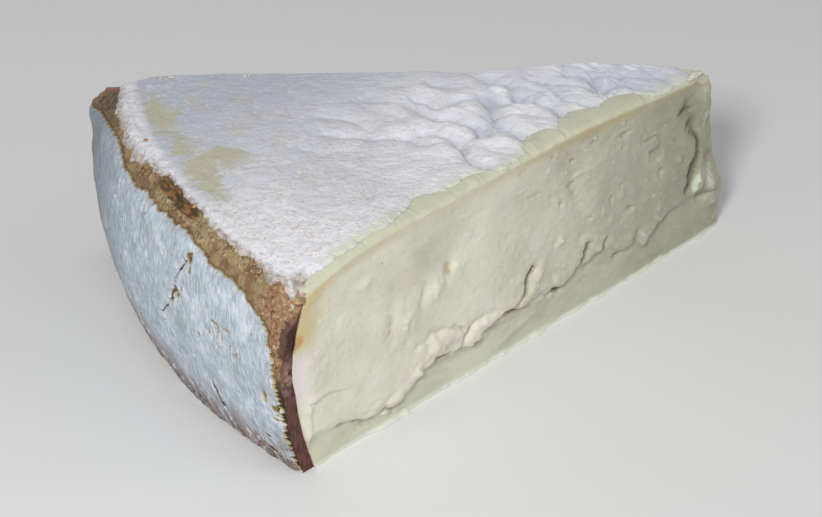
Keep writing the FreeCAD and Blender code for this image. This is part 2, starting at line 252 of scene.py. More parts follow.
def wrinkles(place):
    """Relief of the wrinkled rind, in millimetres, over the whole top."""
    points = place * np.array((-1.0, 1.0))
    bent = points + 0.7 * wander(points, 6.0, 3) + 0.3 * wander(points, 2.2, 5)
    back, aside = points.T
    wrinkled = step(6.0, 16.0, back) * fall(58.0, 88.0, back + 0.5 * aside)
    tight = wrinkled * fall(28.0, 48.0, back)
    relief = -0.42 * wrinkled * pillows(bent, 8.5, 2.8, -0.58, 1)
    relief -= 0.52 * tight * pillows(bent, 4.2, 3.2, -0.75, 2)
    relief -= 0.24 * tight * pillows(bent, 2.3, 3.0, -0.65, 5)
    relief -= 0.16 * pillows(bent + 40.0, 16.0, 1.6, -0.5, 3)
    for depth, chain in CREASES:
        gap = to_chain(bent, chain)
        relief -= 0.85 * depth * np.exp(-((gap / 1.15) ** 1.2))
        relief -= 0.30 * depth * hump(gap, 3.2)
        relief += 0.25 * depth * hump(gap - 4.4, 2.6)
    relief += lumps(points, (0.40, 18.0, 7), (0.14, 5.5, 8))
    return relief


# Width of the bare bevel between the near cut and the white coat, by distance from the tip,
# and where along it the paste was pressed flat.
FLAT_LOBE = 93.0
BEVEL_AT = (0, 8, 17, 19, 21.5, 27, 29, 32, 36.6, 40, 43, 46, 48, 49.5, 51, 53, 56, 58, 60.5, 62,
            66, 71, 75, 80, 84, 87, 89, 93, 96, 99.5, 106, 114, 119, 125, 128, 131)
BEVEL_WIDTH = (0.6, 0.5, 0.5, 1, 3.6, 6.3, 6.2, 5.5, 6, 8, 8.2, 6.5, 5.4, 4, 5.5, 6.9, 7, 6.6, 3.6,
               1.9, 0.6, 0.6, 2.6, 3.9, 3.4, 3.3, 4.4, 6, 5.2, 3.3, 2.2, 2.1, 2, 2.4, 2.9, 0.9)


def bevel_width(distance):
    ragged = lumps(distance, (0.35, 1.6, 21), (0.3, 0.7, 22))
    return np.maximum(np.interp(distance, BEVEL_AT, BEVEL_WIDTH) + ragged, 0.25)


# The torn line of the near cut: distances from the tip, and its height there.
TEAR_AT = (0, 8, 12, 16, 19, 27, 35, 38, 42, 47, 50, 56, 63, 68, 73, 76, 81, 86, 93, 96, 99, 102,
           106, 112, 120, 130)
TEAR_HEIGHT = (14.5, 13.6, 13.2, 11.6, 9.4, 11.2, 14.7, 15, 13.1, 10.9, 10.6, 10.2, 11.6, 11.9, 11.5,
               9.4, 9.9, 10.2, 10.7, 9.5, 6.9, 4.3, 3.7, 4.5, 7.5, 9)

# How far the soft paste laps over the bark's cut end, by height.
LAP_HEIGHTS = (0, 1.1, 4, 15, 19, 21, 26, 31, 35, 39, 43, 46)
PASTE_LAP = (1.0, 1.0, 0.2, 0.0, 0.2, 0.6, 1.6, 2.2, 1.7, 1.6, 1.5, 0.8)

# Lumps and dents of the torn tip, in the same way as those of the near cut below.
TIP_LUMPS = (
    (0.9, 18.8, 1.2, 3.6, -4, 2), (-6.3, 17, 3.6, 4.6, 0, 1.5), (-6.8, 10.4, 3.4, 2, 0, 1.5),
    (-1.1, 12, 0.9, 1.3, 0, 0.9), (-2.7, 16, 0.7, 4, -4, -1.3), (-4.5, 12.9, 3.6, 0.6, 0, -1),
    (2.9, 18, 0.9, 5, -4, -1.6), (7.4, 38.4, 2.4, 4.6, -30, -1.4), (3.4, 33.6, 2.4, 3.6, -30, -1.5),
    (-5, 33, 2.6, 9, 0, -0.6), (-1.6, 42.6, 2.4, 4.4, -6, 1), (-1.4, 47, 3, 2.4, 0, 0.9),
    (-2.8, 37.5, 0.8, 4.4, -8, 0.9), (1, 5.5, 6, 2.4, 0, -0.5), (12, 31, 5, 6, 0, -0.4),
)

# The crevice between the tip and its lump: distance from the tip and height along it.
CREVICE = ((4.8, 41.2), (2.8, 36.6), (1, 32.6), (-0.1, 29.8), (-0.2, 27.8), (1.4, 24.6), (2.6, 21.4),
           (3.2, 17))

# Clefts of the torn zone: depth, then distance from the tip and height along each.
CLEFTS = (
    (0.7, ((122, 7.8), (116.6, 6.1), (111.3, 4.6), (108, 5.4), (106, 4.4))),
    (1.5, ((105.1, 3.9), (102.2, 4.9), (101.4, 6.4), (98.9, 7.7), (96.8, 8.8), (96.5, 10.4), (93.5, 10.8),
           (90.1, 10.9), (87.5, 10.3))),
    (1, ((84.1, 10.4), (83.3, 11.9), (82.5, 13.7), (81.2, 14.2))),
    (1.6, ((77.9, 8.8), (76.6, 10.1), (74.9, 11.1), (72.3, 12), (69.3, 12.8), (66.1, 12), (64.4, 13.4),
           (62.7, 14.8), (61.9, 17), (61.7, 19.4), (60, 20.8))),
    (1.1, ((66.1, 11.6), (62.8, 10.4), (59.8, 11.9), (57.5, 11.9), (54.2, 10.7), (51.9, 11.1), (48.6, 10))),
    (0.30, ((108.5, 7.5), (106, 8.8), (103.1, 9.1), (101.1, 10.6), (100.3, 13.1), (99.1, 13.2))),
    (0.6, ((98.8, 17.4), (96.3, 17.9), (94.3, 18.7), (92.2, 18.8), (88.3, 18.3), (86.1, 17.3),
           (83.9, 15.4))),
    (0.5, ((96.6, 13.4), (95.8, 14.8), (95.4, 16.4))),
    (0.45, ((82.1, 14.2), (80, 15.4), (77, 15.7), (73, 15.3))),
    (1.1, ((49, 9.8), (46, 11.6), (43.4, 13.4), (41.6, 16), (40.4, 18.6))),
    (0.8, ((40, 12.4), (37.4, 14.6), (34.8, 15.2), (33.4, 17.2))),
    (0.9, ((17, 7.6), (16, 10.5), (13, 11.2), (10.6, 13.1), (8.1, 14))),
    (0.8, ((29, 9), (26.4, 11), (23, 11.2), (22, 14))),
)

# The edge of the smeared film near the heel, in the same way, and where the film ends.
FILM_END = 130.8
FILM_EDGE = ((117, 16.6), (120.8, 17.4), (123.1, 18.1), (125.8, 19), (128.1, 19.1), (129.6, 18.7),
             (130.5, 17.7), (130.9, 15.5), (130.9, 12.2), (130.6, 8.7), (130.5, 5))

# Lumps (outward) and dents (inward) of the near cut: distance from the tip, height, half
# length, half height, tilt in degrees, how far it stands out.
LUMPS = (
    (105, 7.6, 3.6, 1.6, 30, 0.7), (99.4, 11.4, 3, 1.8, 53, 0.8), (90.3, 15, 6, 2.6, 10, 1.5),
    (94, 15.2, 2.3, 1.8, 30, 0.7), (86.8, 15.6, 3, 1.5, 5, 0.5), (76.6, 13.4, 4.8, 1.6, 16, 1.4),
    (69, 14.6, 2.8, 1.1, 12, 0.8), (60, 15.2, 3.4, 1.4, 56, 1.6), (57.8, 19.4, 2.4, 1, 50, 0.7),
    (52.4, 13.2, 3.4, 1.2, 25, 0.8), (89.6, 9.4, 1.4, 0.7, 30, 0.5), (91.6, 8.4, 1, 0.6, 30, 0.5),
    (60, 6.4, 9.5, 1, 18, 0.9), (63, 3.9, 8, 0.9, 14, -0.35), (84, 5.4, 8, 1.6, 8, 0.3),
    (102.2, 26, 2.9, 2.1, -10, 1), (105.8, 26.5, 1.3, 2.6, 10, -1.2), (107, 22.5, 1, 2.5, 20, -0.4),
    (92.6, 30, 2.2, 2.9, -25, 0.9), (96.2, 29, 1, 3, -15, -0.9),
    (85.6, 33.1, 1.8, 1.7, 0, 1), (88.1, 33.7, 1, 1.4, 0, -1.1), (89, 31, 0.7, 2.6, 10, -0.4),
    (46, 15.4, 1.6, 0.9, 50, 0.9), (39.1, 19.6, 1.2, 0.9, 30, 0.8), (36.8, 16.4, 1.8, 0.8, 40, 0.8),
    (31, 13.4, 2.6, 0.9, 20, 0.6), (50.6, 24.3, 1.5, 0.9, 20, 0.9), (52.4, 24, 0.8, 0.8, 0, -0.8),
    (36.4, 35.7, 0.8, 0.7, 0, 0.6), (29, 27.2, 1.1, 1, 0, 0.8), (14.6, 31.4, 1.3, 0.9, 0, 0.7),
    (20.5, 11.5, 1.2, 2.2, -30, 1.5), (15.1, 17.7, 0.9, 1.8, -20, 1.1), (25.6, 14.4, 2, 0.9, 30, 0.6),
    (45.4, 32.5, 1.9, 8, 22, -0.75), (49.5, 33.5, 3.8, 8.5, 22, 0.45), (39, 31, 3.6, 7, 20, 0.3),
    (8.2, 28.5, 1.1, 0.8, 0, 1), (24, 35, 0.8, 0.7, 0, 0.5), (20, 22, 1, 0.9, 0, 0.6),
    (33, 22.5, 0.9, 0.9, 0, 0.6), (24.5, 19, 0.8, 1.2, 0, 0.6), (43, 22, 0.9, 0.8, 0, -0.6),
    (114.3, 40.9, 2.4, 1.7, 20, 0.6), (120.5, 33, 6, 4, 0, 0.3), (70, 27, 9, 6, 0, 0.35),
    (128.5, 26, 3.5, 6, 0, 0.4), (30, 41.5, 8, 3.5, 0, 0.3), (113.6, 9.4, 1.2, 0.7, 10, 0.35),
)


def from_lump(distance, height, middle, level, half_length, half_height, tilt):
    """How far points are from a lump's middle, where 1 is its edge."""
    lean = math.radians(tilt)
    along = (height - level) * math.sin(lean) - (distance - middle) * math.cos(lean)
    aside = (height - level) * math.cos(lean) + (distance - middle) * math.sin(lean)
    return np.hypot(along / half_length, aside / half_height)


def near_relief(distance, height):
    """How far the near cut stands out from the knife's plane, and how far it sags down."""
    face = stacked(distance, height)
    ragged = lumps(face, (0.5, 3.2, 31), (0.35, 1.3, 32))
    above = height - np.interp(distance, TEAR_AT, TEAR_HEIGHT) - ragged
    torn = span(3.0, 9.0, 112.0, 121.0, distance)
    out = 1.3 * span(-1.5, 1.9, 7.0, 33.0, above)
    out += 0.3 * hump(above - 2.0, 2.6) * torn * (0.6 + 0.6 * lumpy(face, 5.0, 33))
    curds = pillows(face + 1.2 * stacked(ragged, -ragged), 4.6, 1.9, 1.05, 4)
    out -= 0.26 * curds * hump(above - 2.4, 3.2) * torn
    strands = face @ np.array(((0.93, -0.36), (0.36, 0.93)))
    out += 0.28 * lumpy(strands * (0.30, 1.0), 1.7, 35) * hump(above - 1.0, 6.5) * torn
    out += 0.19 * rugged(strands * (0.5, 1.0), 1.1, 46, 2) * hump(above - 2.0, 6.0) * torn
    uneven = 0.8 + 0.4 * lumpy(face, 4.0, 34)
    shaken = face + 0.45 * wander(face, 2.0, 29)
    split_open = np.zeros(len(distance))
    for depth, chain in CLEFTS:
        gap = to_chain(shaken, chain)
        split_open = np.maximum(split_open, depth * uneven * hump(gap, 0.8))
        out -= 1.15 * depth * uneven * np.exp(-((gap / 0.60) ** 1.5))
        out -= 0.30 * depth * hump(gap, 1.8)
        out += 0.12 * depth * hump(gap - 2.2, 1.6)
    knobbly = 1.0 + lumps(face, (0.40, 1.6, 36), (0.25, 0.8, 37))
    for middle, level, *shape, proud in LUMPS:
        pressed, widened = (0.50, 0.738) if level < 20.0 else (0.85, 0.90)
        spread = widened * from_lump(distance, height, middle, level, *shape) + 0.22 * ragged
        out += pressed * proud * knobbly * np.exp(-(np.maximum(spread, 0.0) ** 1.7))
    ledge = np.array(FILM_EDGE[:6]).T
    gap = to_chain(face + 0.2 * stacked(ragged, ragged), FILM_EDGE)
    inside = (height < np.interp(distance, *ledge)) & (distance < FILM_END)
    gap = np.where(inside, gap, -gap)
    film = 0.22 * hump(gap + 0.8, 0.9) - 0.6 * step(-0.25, 0.45, gap) * np.exp(-np.maximum(gap, 0.0) / 5.0)
    out += film * step(117.0, 123.0, distance) * step(3.0, 8.0, height)
    grainy = fall(45.0, 75.0, distance)
    out += lumps(face, (0.30, 13.0, 38), (0.14, 5.0, 39))
    out += (0.05 + 0.11 * grainy) * rugged(face * (0.55, 1.0), 2.0, 40, 3)
    pitted = np.maximum(lumpy(face * (0.55, 1.0), 2.0, 44) - 0.66, 0.0)
    out -= (0.5 + 2.0 * grainy) * pitted * step(2.0, 6.0, above)
    pimpled = np.maximum(lumpy(face * (0.55, 1.0), 1.8, 45) - 0.72, 0.0)
    out += (0.5 + 1.4 * grainy) * pimpled * step(1.0, 4.0, above)
    sag = 0.5 * hump(above - 0.6, 1.3) * torn
    return out, sag, above, split_open


# Just inside the first and the last layer of a block, which is 1 long, wide and high.
FIRST = 1e-5
LAST = 1.0 - FIRST


def cut_finer(block, kind, chosen, number):
    """Cut the chosen edges or faces of a block into a number of parts along each edge."""
    bpy.ops.object.mode_set(mode="EDIT")
    bpy.ops.mesh.select_mode(type=kind)
    bpy.ops.mesh.select_all(action="DESELECT")
    bpy.ops.object.mode_set(mode="OBJECT")
    items = block.data.edges if kind == "EDGE" else block.data.polygons
    items.foreach_set("select", chosen)
    bpy.ops.object.mode_set(mode="EDIT")
    bpy.ops.mesh.subdivide(number_cuts=number - 1)
    bpy.ops.mesh.select_all(action="DESELECT")
    bpy.ops.object.mode_set(mode="OBJECT")


def fine_block(name, parts, finer):
    """A block cut into small squares.  finer gives which of its faces are cut again, and how."""
    bpy.ops.object.select_all(action="DESELECT")
    bpy.ops.mesh.primitive_cube_add(size=1.0, location=(0.5, 0.5, 0.5))
    bpy.ops.object.transform_apply(location=True, rotation=False, scale=False)
    block = bpy.context.object
    block.name = name
    for axis, number in enumerate(parts):
        vertices = block.data.vertices
        ends = [[vertices[index].co[axis] for index in edge.vertices] for edge in block.data.edges]
        cut_finer(block, "EDGE", [abs(start - end) > 0.5 for start, end in ends], number)
    for wanted, number in finer:
        centres = np.empty(len(block.data.polygons) * 3)
        block.data.polygons.foreach_get("center", centres)
        cut_finer(block, "FACE", wanted(*centres.reshape(-1, 3).T), number)
    return block


def corners_of(block):
    places = np.empty(len(block.data.vertices) * 3)
    block.data.vertices.foreach_get("co", places)
    return places.reshape(-1, 3)


# Where the crossing of the cuts lies in the frame, from the bark's outermost point and corner.
bark_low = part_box("bark_strap")[0]
CROSSING = np.array((
    bark_low.x / MILLIMETRE + WHEEL_RADIUS - WHEEL_CENTRE[0],
    bark_low.y / MILLIMETRE - reach_along(NEAR_CUT, WHEEL_RADIUS) * NEAR_CUT[1],
))


def set_shape(block, plan, height):
    """Move a block's points to a plan and heights in millimetres about the crossing."""
    places = np.column_stack((plan + CROSSING, height)) * MILLIMETRE
    block.data.vertices.foreach_set("co", places.ravel())
    block.data.update()
    bpy.ops.object.select_all(action="DESELECT")
    bpy.context.view_layer.objects.active = block
    block.select_set(True)
    bpy.ops.object.mode_set(mode="EDIT")
    bpy.ops.mesh.select_all(action="SELECT")
    bpy.ops.mesh.normals_make_consistent(inside=False)
    bpy.ops.mesh.select_all(action="DESELECT")
    bpy.ops.object.mode_set(mode="OBJECT")
    bpy.ops.object.shade_smooth_by_angle(angle=math.radians(60.0))


def note(block, **notes):
    """Keep values per point for the finish to read."""
    for name, values in notes.items():
        attribute = block.data.attributes.new(name, "FLOAT", "POINT")
        attribute.data.foreach_set("value", np.asarray(values, np.float32))


EDGE_SHARE = 1.0 / 3.0
EDGE_STRIP = 12.8


def share_across(step_across, along):
    """Share of the way across: small steps beside the near cut, larger ones beyond."""
    strip = np.minimum(EDGE_STRIP / mix(TIP_ROUND, HEEL_WIDTH, along), EDGE_SHARE)
    beyond = (step_across - EDGE_SHARE) / (1.0 - EDGE_SHARE)
    return np.where(step_across < EDGE_SHARE, step_across / EDGE_SHARE * strip, mix(strip, 1.0, beyond))


def near_or_edge(x, y, z):
    return (y < FIRST) | (x > LAST) | ((z > LAST) & (y < EDGE_SHARE))


paste = fine_block("cheese_paste", (92, 24, 32), (
    (near_or_edge, 4),
    (lambda x, y, z: y > LAST, 2),
))
x, y, z = corners_of(paste).T
along = 1.0 - x
across = share_across(y, along)
rim = np.full(len(along), RIM_HEIGHT)
place = plan_point(along, across, rim)
inland = -(place @ NEAR_OUTWARD)
distance = place @ NEAR_CUT
bevel = bevel_width(distance)
top = dome(along, across, place)
folded = wrinkles(place) * step(0.0, 6.0, inland)
top = top + folded * mix(0.5, 1.0, step(0.0, 3.0, inland - bevel))
share_in = np.clip(inland / bevel, 0.0, 1.0)
pressed = 1.0 - 0.5 * share_in ** 2
top -= COAT_THICKNESS * np.where(inland < bevel + 0.4, pressed, 0.9)
lobes = step(2.6, 5.4, bevel) * (1.0 - (2.0 * share_in - 1.0) ** 2)
lobes *= 1.0 - 0.75 * hump(distance - FLAT_LOBE, 9.0)
top += (1.5 * lobes * (1.0 + 0.3 * lumpy(place, 5.0, 52)) + 0.12 * lumpy(place, 2.2, 51)) * (inland < bevel)
top -= 0.40 * hump(inland, 0.6) * (1.0 + 0.5 * lumpy(place, 2.0, 53)) + 1.6 * hump(along, 0.012)
top += (0.9 * lumpy(place, 2.6, 54) + 0.6) * hump(along, 0.05) * step(0.006, 0.02, along)
height = z * top
place = plan_point(along, across, height)
on_near = y < FIRST
on_far = y > LAST
on_tip = x > LAST
distance = place @ NEAR_CUT
out, sag, above, split_open = near_relief(distance, height)
fade = span(0.0, 0.05, 0.93, 1.0, z) * fall(130.0, 133.5, distance)
fade *= step(0.0, 0.015, along)
place = place + (on_near * fade * out)[:, None] * NEAR_OUTWARD
height = height - on_near * fade * sag
from_bark = reach_along(NEAR_CUT, barrel(HEEL_REACH, BARREL_RADIUS, height)) - distance
lap = np.interp(height, LAP_HEIGHTS, PASTE_LAP) + 0.25 * lumpy(height, 2.4, 63)
smeared = on_near * fall(0.0, 5.0, from_bark)
place = place + (smeared * np.maximum(lap, 0.0))[:, None] * NEAR_CUT
place = place + (smeared * step(0.0, 1.0, lap) * 0.55)[:, None] * NEAR_OUTWARD
foot = on_near * fall(0.0, 0.03, z)
flap = 0.7 * (step(99.5, 100.3, distance) - step(104.0, 118.0, distance))
flap += 0.7 * (step(52.0, 52.8, distance) - step(57.0, 72.0, distance))
flap += lumps(distance, (0.45, 4.3, 61), (0.25, 1.9, 62), (0.12, 0.7, 64))
place = place + (foot * (0.25 + np.maximum(flap, -0.1)))[:, None] * NEAR_OUTWARD
crumple = stacked(place[:, 0], place[:, 1], height)
tip_zone = fall(0.0, 0.09, along) * span(0.0, 0.06, 0.95, 1.0, z)
swell = lumps(crumple, (0.6, 6.0, 71), (0.35, 2.2, 72), (0.15, 1.1, 73))
for *lump, proud in TIP_LUMPS:
    swell = swell + proud * np.exp(-(from_lump(distance, height, *lump) ** 2.6))
split = stacked(distance, height) + 0.5 * wander(crumple, 2.0, 74)
crevice_gap = to_chain(split, CREVICE)
ends = span(0.0, 0.06, 0.90, 1.0, z) * fall(0.10, 0.16, along)
open_at = mix(1.0, 0.15, step(29.5, 35.0, height)) * mix(0.6, 1.0, step(20.5, 25.0, height))
crevice = np.exp(-((crevice_gap / 0.80) ** 1.6)) * open_at * ends
sunk = 0.45 * hump(crevice_gap, 3.6) * step(-1.0, 2.5, distance) * ends
outward = mix(NEAR_OUTWARD, FAR_OUTWARD, np.where(on_near, 0.0, np.where(on_far, 1.0, across))[:, None])
shown = on_near | on_tip | on_far
swell = tip_zone * swell - 1.15 * crevice - sunk
place = place + (shown * swell * fall(0.55, 0.9, across))[:, None] * outward
far_face = stacked(distance, height)
slump = 0.7 * np.sin(math.pi * height / RIM_HEIGHT) * (1.0 + 0.5 * lumpy(far_face, 22.0, 81))
slump += 0.35 * rugged(far_face, 7.0, 82, 3)
slump -= 1.5 * np.maximum(lumpy(far_face, 4.5, 85) - 0.55, 0.0)
far_fade = span(0.0, 0.06, 0.93, 1.0, z) * span(0.0, 0.04, 0.95, 1.0, along)
place = place + (on_far * far_fade * slump)[:, None] * FAR_OUTWARD
set_shape(paste, place, np.maximum(height, 0.0))
note(
    paste,
    above_tear=np.where(on_near, above, 20.0),
    distance=distance,
    height=height,
    below_top=top - height,
    inland=np.where(on_near, 0.0, inland),
    on_cut=shown.astype(float),
    from_bark=np.where(on_near, from_bark, 20.0),
    proud=np.where(on_near, out, 0.0) + swell,
    crevice=(crevice + 0.6 * sunk) * shown,
    lobes=lobes,
    cleft=split_open * on_near,
)


class Wire:
    """A socket in a finish.  Arithmetic on it adds the Math nodes that do the same."""

    def __init__(self, finish, socket):
        self.finish = finish
        self.socket = socket

    def math(self, operation, first, second=None):
        inputs = {0: first} if second is None else {0: first, 1: second}
        return self.finish.node("ShaderNodeMath", {"operation": operation}, inputs)

    def __add__(self, other):
        return self.math("ADD", self, other)

    def __radd__(self, other):
        return self.math("ADD", other, self)

    def __sub__(self, other):
        return self.math("SUBTRACT", self, other)

    def __rsub__(self, other):
        return self.math("SUBTRACT", other, self)

    def __mul__(self, other):
        return self.math("MULTIPLY", self, other)

    def __abs__(self):
        return self.math("ABSOLUTE", self)

    def most(self, other):
        return self.math("MAXIMUM", self, other)

    def step(self, low, high):
        """Smooth step from 0 at low to 1 at high."""
        settings = {"interpolation_type": "SMOOTHSTEP"}
        inputs = {"Value": self, "From Min": low, "From Max": high}
        return self.finish.node("ShaderNodeMapRange", settings, inputs)

    def fall(self, low, high):
        return 1.0 - self.step(low, high)

    def hump(self, middle, half_width):
        """1 at middle, fading smoothly to 0 at half_width away."""
        return abs(self - middle).fall(0.0, half_width)

    def stretched(self, turn, *scale):
        inputs = {"Vector": self, "Rotation": turn, "Scale": scale}
        return self.finish.node("ShaderNodeMapping", {"vector_type": "TEXTURE"}, inputs)

    def noise(self, grain, detail=3.0, rough=0.55):
        """Cloudy pattern, 0 to 1, whose clouds are about grain wide."""
        inputs = {"Vector": self, "Scale": 1.0 / grain, "Detail": detail, "Roughness": rough}
        return self.finish.node("ShaderNodeTexNoise", {}, inputs, "Fac")

    def cells(self, grain):
        inputs = {"Vector": self, "Scale": 1.0 / grain}
        return self.finish.node("ShaderNodeTexVoronoi", {}, inputs, "Distance")


class Finish:
    """A material, or the room's light, wired up node by node."""

    def __init__(self, name, kind="materials"):
        self.owner = getattr(bpy.data, kind).new(name)
        self.owner.use_nodes = True
        self.tree = self.owner.node_tree
        self.tree.nodes.clear()

    def node(self, kind, settings, inputs, output=0):
        made = self.tree.nodes.new(kind)
        for setting, value in settings.items():
            setattr(made, setting, value)
        for name, value in inputs.items():
            if isinstance(value, Wire):
                self.tree.links.new(value.socket, made.inputs[name])
            else:
                made.inputs[name].default_value = value
        return Wire(self, made.outputs[output])

    def noted(self, *names):
        """Values kept per point of the mesh."""
        kind = "ShaderNodeAttribute"
        return [self.node(kind, {"attribute_name": name}, {}, "Fac") for name in names]

    def here(self):
        return self.node("ShaderNodeTexCoord", {}, {}, "Object")

    def tint(self, share, first, second):
        """Colour a share of the way from first to second."""
        inputs = {0: share, 6: first, 7: second}
        return self.node("ShaderNodeMix", {"data_type": "RGBA"}, inputs, 2)

    def layered(self, colour, layers):
        """A colour with others laid over it in turn, each by its share."""
        for share, over in layers:
            colour = self.tint(share, colour, over)
        return colour

    def bump(self, height, distance, strength):
        inputs = {"Height": height, "Distance": distance, "Strength": strength}
        return self.node("ShaderNodeBump", {}, inputs)

    def close(self, piece, inputs):
        shader = self.node("ShaderNodeBsdfPrincipled", {}, inputs)
        made = self.tree.nodes.new("ShaderNodeOutputMaterial")
        self.tree.links.new(shader.socket, made.inputs["Surface"])
        piece.data.materials.clear()
        piece.data.materials.append(self.owner)


def tone(red, green, blue):
    """A colour given as 0 to 255, turned into amounts of light."""
    shares = (value / 255.0 for value in (red, green, blue))
    linear = [value / 12.92 if value < 0.04045 else ((value + 0.055) / 1.055) ** 2.4 for value in shares]
    return (*linear, 1.0)


CREAM = tone(223, 220, 203)
CREAM_DEEP = tone(208, 205, 186)
# Painted shade for the cut face towards the tip.
CREAM_TIP_PAINTED_SHADE = tone(148, 146, 124)
CREAM_FLECKS_AND_HIGHLIGHT = tone(212, 203, 192)
HOLLOW_SHADE_AND_FLECKS = tone(150, 144, 118)
CLEFT_SHADE = tone(112, 100, 76)
GREENISH = tone(200, 202, 178)
RIND_GREEN = tone(197, 199, 171)
LOBE_TAN = tone(190, 187, 160)
OCHRE = tone(182, 164, 118)
FOOT_MINT = tone(222, 228, 212)
STAIN_YELLOW = tone(212, 192, 136)
CREVICE_SHADE = tone(86, 76, 52)
UNDER_TEAR_SHADE = tone(168, 160, 136)
PIT_BROWN = tone(184, 162, 116)
STAIN = tone(200, 146, 76)
SMEAR_WHITE = tone(226, 220, 216)
TIP_MINT = tone(214, 224, 200)

finish = Finish("ripe_paste")
spot = finish.here()
above, distance_in, level, below_top = finish.noted("above_tear", "distance", "height", "below_top")
inland_in, on_cut, bark_in, proud_in = finish.noted("inland", "on_cut", "from_bark", "proud")
crevice_in, lobes_in, cleft_in = finish.noted("crevice", "lobes", "cleft")
clouds = spot.noise(0.018)
blotches = spot.noise(0.006, 3.0)
flecks = spot.noise(0.0016)
tipward = distance_in.fall(-4.0, 84.0)
band = (0.8 - above).step(0.0, 2.4) * on_cut * (1.0 - tipward * 0.6)
shadow = (above + (blotches - 0.5) * 2.0).hump(-1.6, 2.6) * on_cut * distance_in.hump(72.0, 52.0)
shaded = blotches.step(0.50, 0.64) * above.hump(2.6, 5.4) * on_cut * distance_in.hump(74.0, 50.0)
edge = spot.noise(0.003) * 1.2
foot = (level + edge).fall(1.0, 1.9)
section = (below_top + edge * 0.4).fall(0.0, 0.9)
line = (below_top + edge * 0.5).hump(1.0, 2.5) * inland_in.fall(0.0, 0.4)
line_strength = distance_in.hump(38.0, 45.0) * 0.55 + distance_in.step(95.0, 120.0) * 0.3 + 0.2
bark_bent = bark_in + (blotches - 0.5) * 6.0 + (flecks - 0.5) * 3.0
top_stain = (level + (blotches - 0.5) * 5.0).step(31.0, 36.0) * bark_bent.fall(1.0, 7.0)
yellow_dots = flecks.step(0.58, 0.68) * level.step(28.0, 33.0) * bark_in.fall(4.0, 12.0)
rust = level.hump(36.0, 3.6) * (bark_in + (flecks - 0.5) * 2.4 + (blotches - 0.5) * 2.0).fall(-0.2, 2.6)
low_rust = bark_in.fall(-0.2, 0.5) * level.fall(17.0, 20.0)
smear = bark_bent.fall(1.8, 7.6) * level.step(16.0, 23.0) * (level + (blotches - 0.5) * 6.0).fall(30.0, 35.0)
pit_edge = distance_in.hump(88.3, 1.2) * level.hump(32.7, 1.9)
pit_edge = pit_edge.most(distance_in.hump(107.0, 1.1) * level.hump(25.2, 2.0) * 0.6)
dot = distance_in.hump(109.3, 0.45) * level.hump(44.4, 0.45)
mint = distance_in.hump(0.9, 1.7) * level.hump(18.8, 4.2) * on_cut
grain = spot.noise(0.0012, 4.0)
pores = spot.cells(0.0035)
relief = grain * 0.35 + clouds * 1.2 + pores.step(0.0, 0.28) * 0.3 + flecks * 0.4
wet = spot.noise(0.009)
bevel_colour = finish.layered(RIND_GREEN, (
    (lobes_in.step(0.1, 0.7) * 0.8, LOBE_TAN),
    (blotches.step(0.4, 0.7) * 0.3, CREAM_DEEP),
))
colour = finish.layered(CREAM, (
    (clouds.step(0.35, 0.7), CREAM_DEEP),
    # painted shade: the cut face darkens steadily towards the tip, as the light falls off there
    (tipward * 0.98, CREAM_TIP_PAINTED_SHADE),
    (blotches.step(0.45, 0.7) * 0.22, GREENISH),
    (flecks.step(0.56, 0.75) * (0.16 + tipward * 0.30), CREAM_FLECKS_AND_HIGHLIGHT),
    (flecks.fall(0.30, 0.44) * (0.10 + tipward * 0.25), HOLLOW_SHADE_AND_FLECKS),
    (band * 0.55, GREENISH),
    # painted shadow under the torn ridge
    (shadow * 0.55, UNDER_TEAR_SHADE),
    # painted highlight: lumps that stand out from the cut are lightened on their crowns
    (proud_in.step(1.3, 2.6) * on_cut * (0.25 + blotches * 0.5), CREAM_FLECKS_AND_HIGHLIGHT),
    # painted shade: the cut is darkened where it lies back from the knife's plane, in its hollows
    ((0.3 - proud_in).step(0.0, 1.3) * on_cut * 0.8, HOLLOW_SHADE_AND_FLECKS),
    # painted shade: the deepest hollows and the clefts of the torn zone are painted dark brown
    ((0.0 - proud_in).step(0.3, 1.5) * on_cut * 0.75, CLEFT_SHADE),
    (cleft_in.step(0.25, 1.1) * (0.4 + blotches * 0.7), CLEFT_SHADE),
    # painted shade mottled over the lumps of the torn zone
    (shaded * 0.55, UNDER_TEAR_SHADE),
    (foot * 0.85, FOOT_MINT),
    (section, bevel_colour),
    (line * line_strength * (0.5 + blotches), OCHRE),
    (top_stain * 0.95, STAIN_YELLOW),
    (yellow_dots * 0.6, STAIN_YELLOW),
    (rust.step(0.1, 0.75) * 0.85, STAIN),
    (low_rust * 0.6, STAIN_YELLOW),
    (smear * 0.85, SMEAR_WHITE),
    ((pit_edge * (0.6 + flecks)).step(0.1, 0.9) * 0.75, PIT_BROWN),
    # painted shade: the crevice at the tip and the hollow round it are painted dark brown
    (crevice_in.step(0.12, 0.95) * 0.9, CREVICE_SHADE),
    (dot, STAIN),
    (mint.step(0.1, 0.6) * 0.8, TIP_MINT),
))
finish.close(paste, {
    "Base Color": colour,
    "Roughness": 0.27 + wet * 0.28 + foot * 0.30,
    "Subsurface Weight": 0.35,
    "Subsurface Radius": (1.0, 0.85, 0.55),
    "Subsurface Scale": 0.0016,
    "Coat Weight": 0.4,
    "Coat Roughness": 0.18,
    "Normal": finish.bump(relief, 0.00035, 0.7),
})
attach(paste, "root")
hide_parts("cheese")


# ---------------------------------------------------------------- white rind
# The white mould coat that grew over the top, about a millimetre thick.  It wrinkled as the
# cheese ripened, ends in a ragged lip where the knife broke it away along the near cut, and
# laps over the bark at the rim.  It is felted, so light sinks into it and nothing shines.

COAT_START = 6.0
COAT_LENGTH = 138.0
WEDGE_LENGTH = 150.0
NEAR_TAPER = 3.4
RIM_TAPER = 1.9

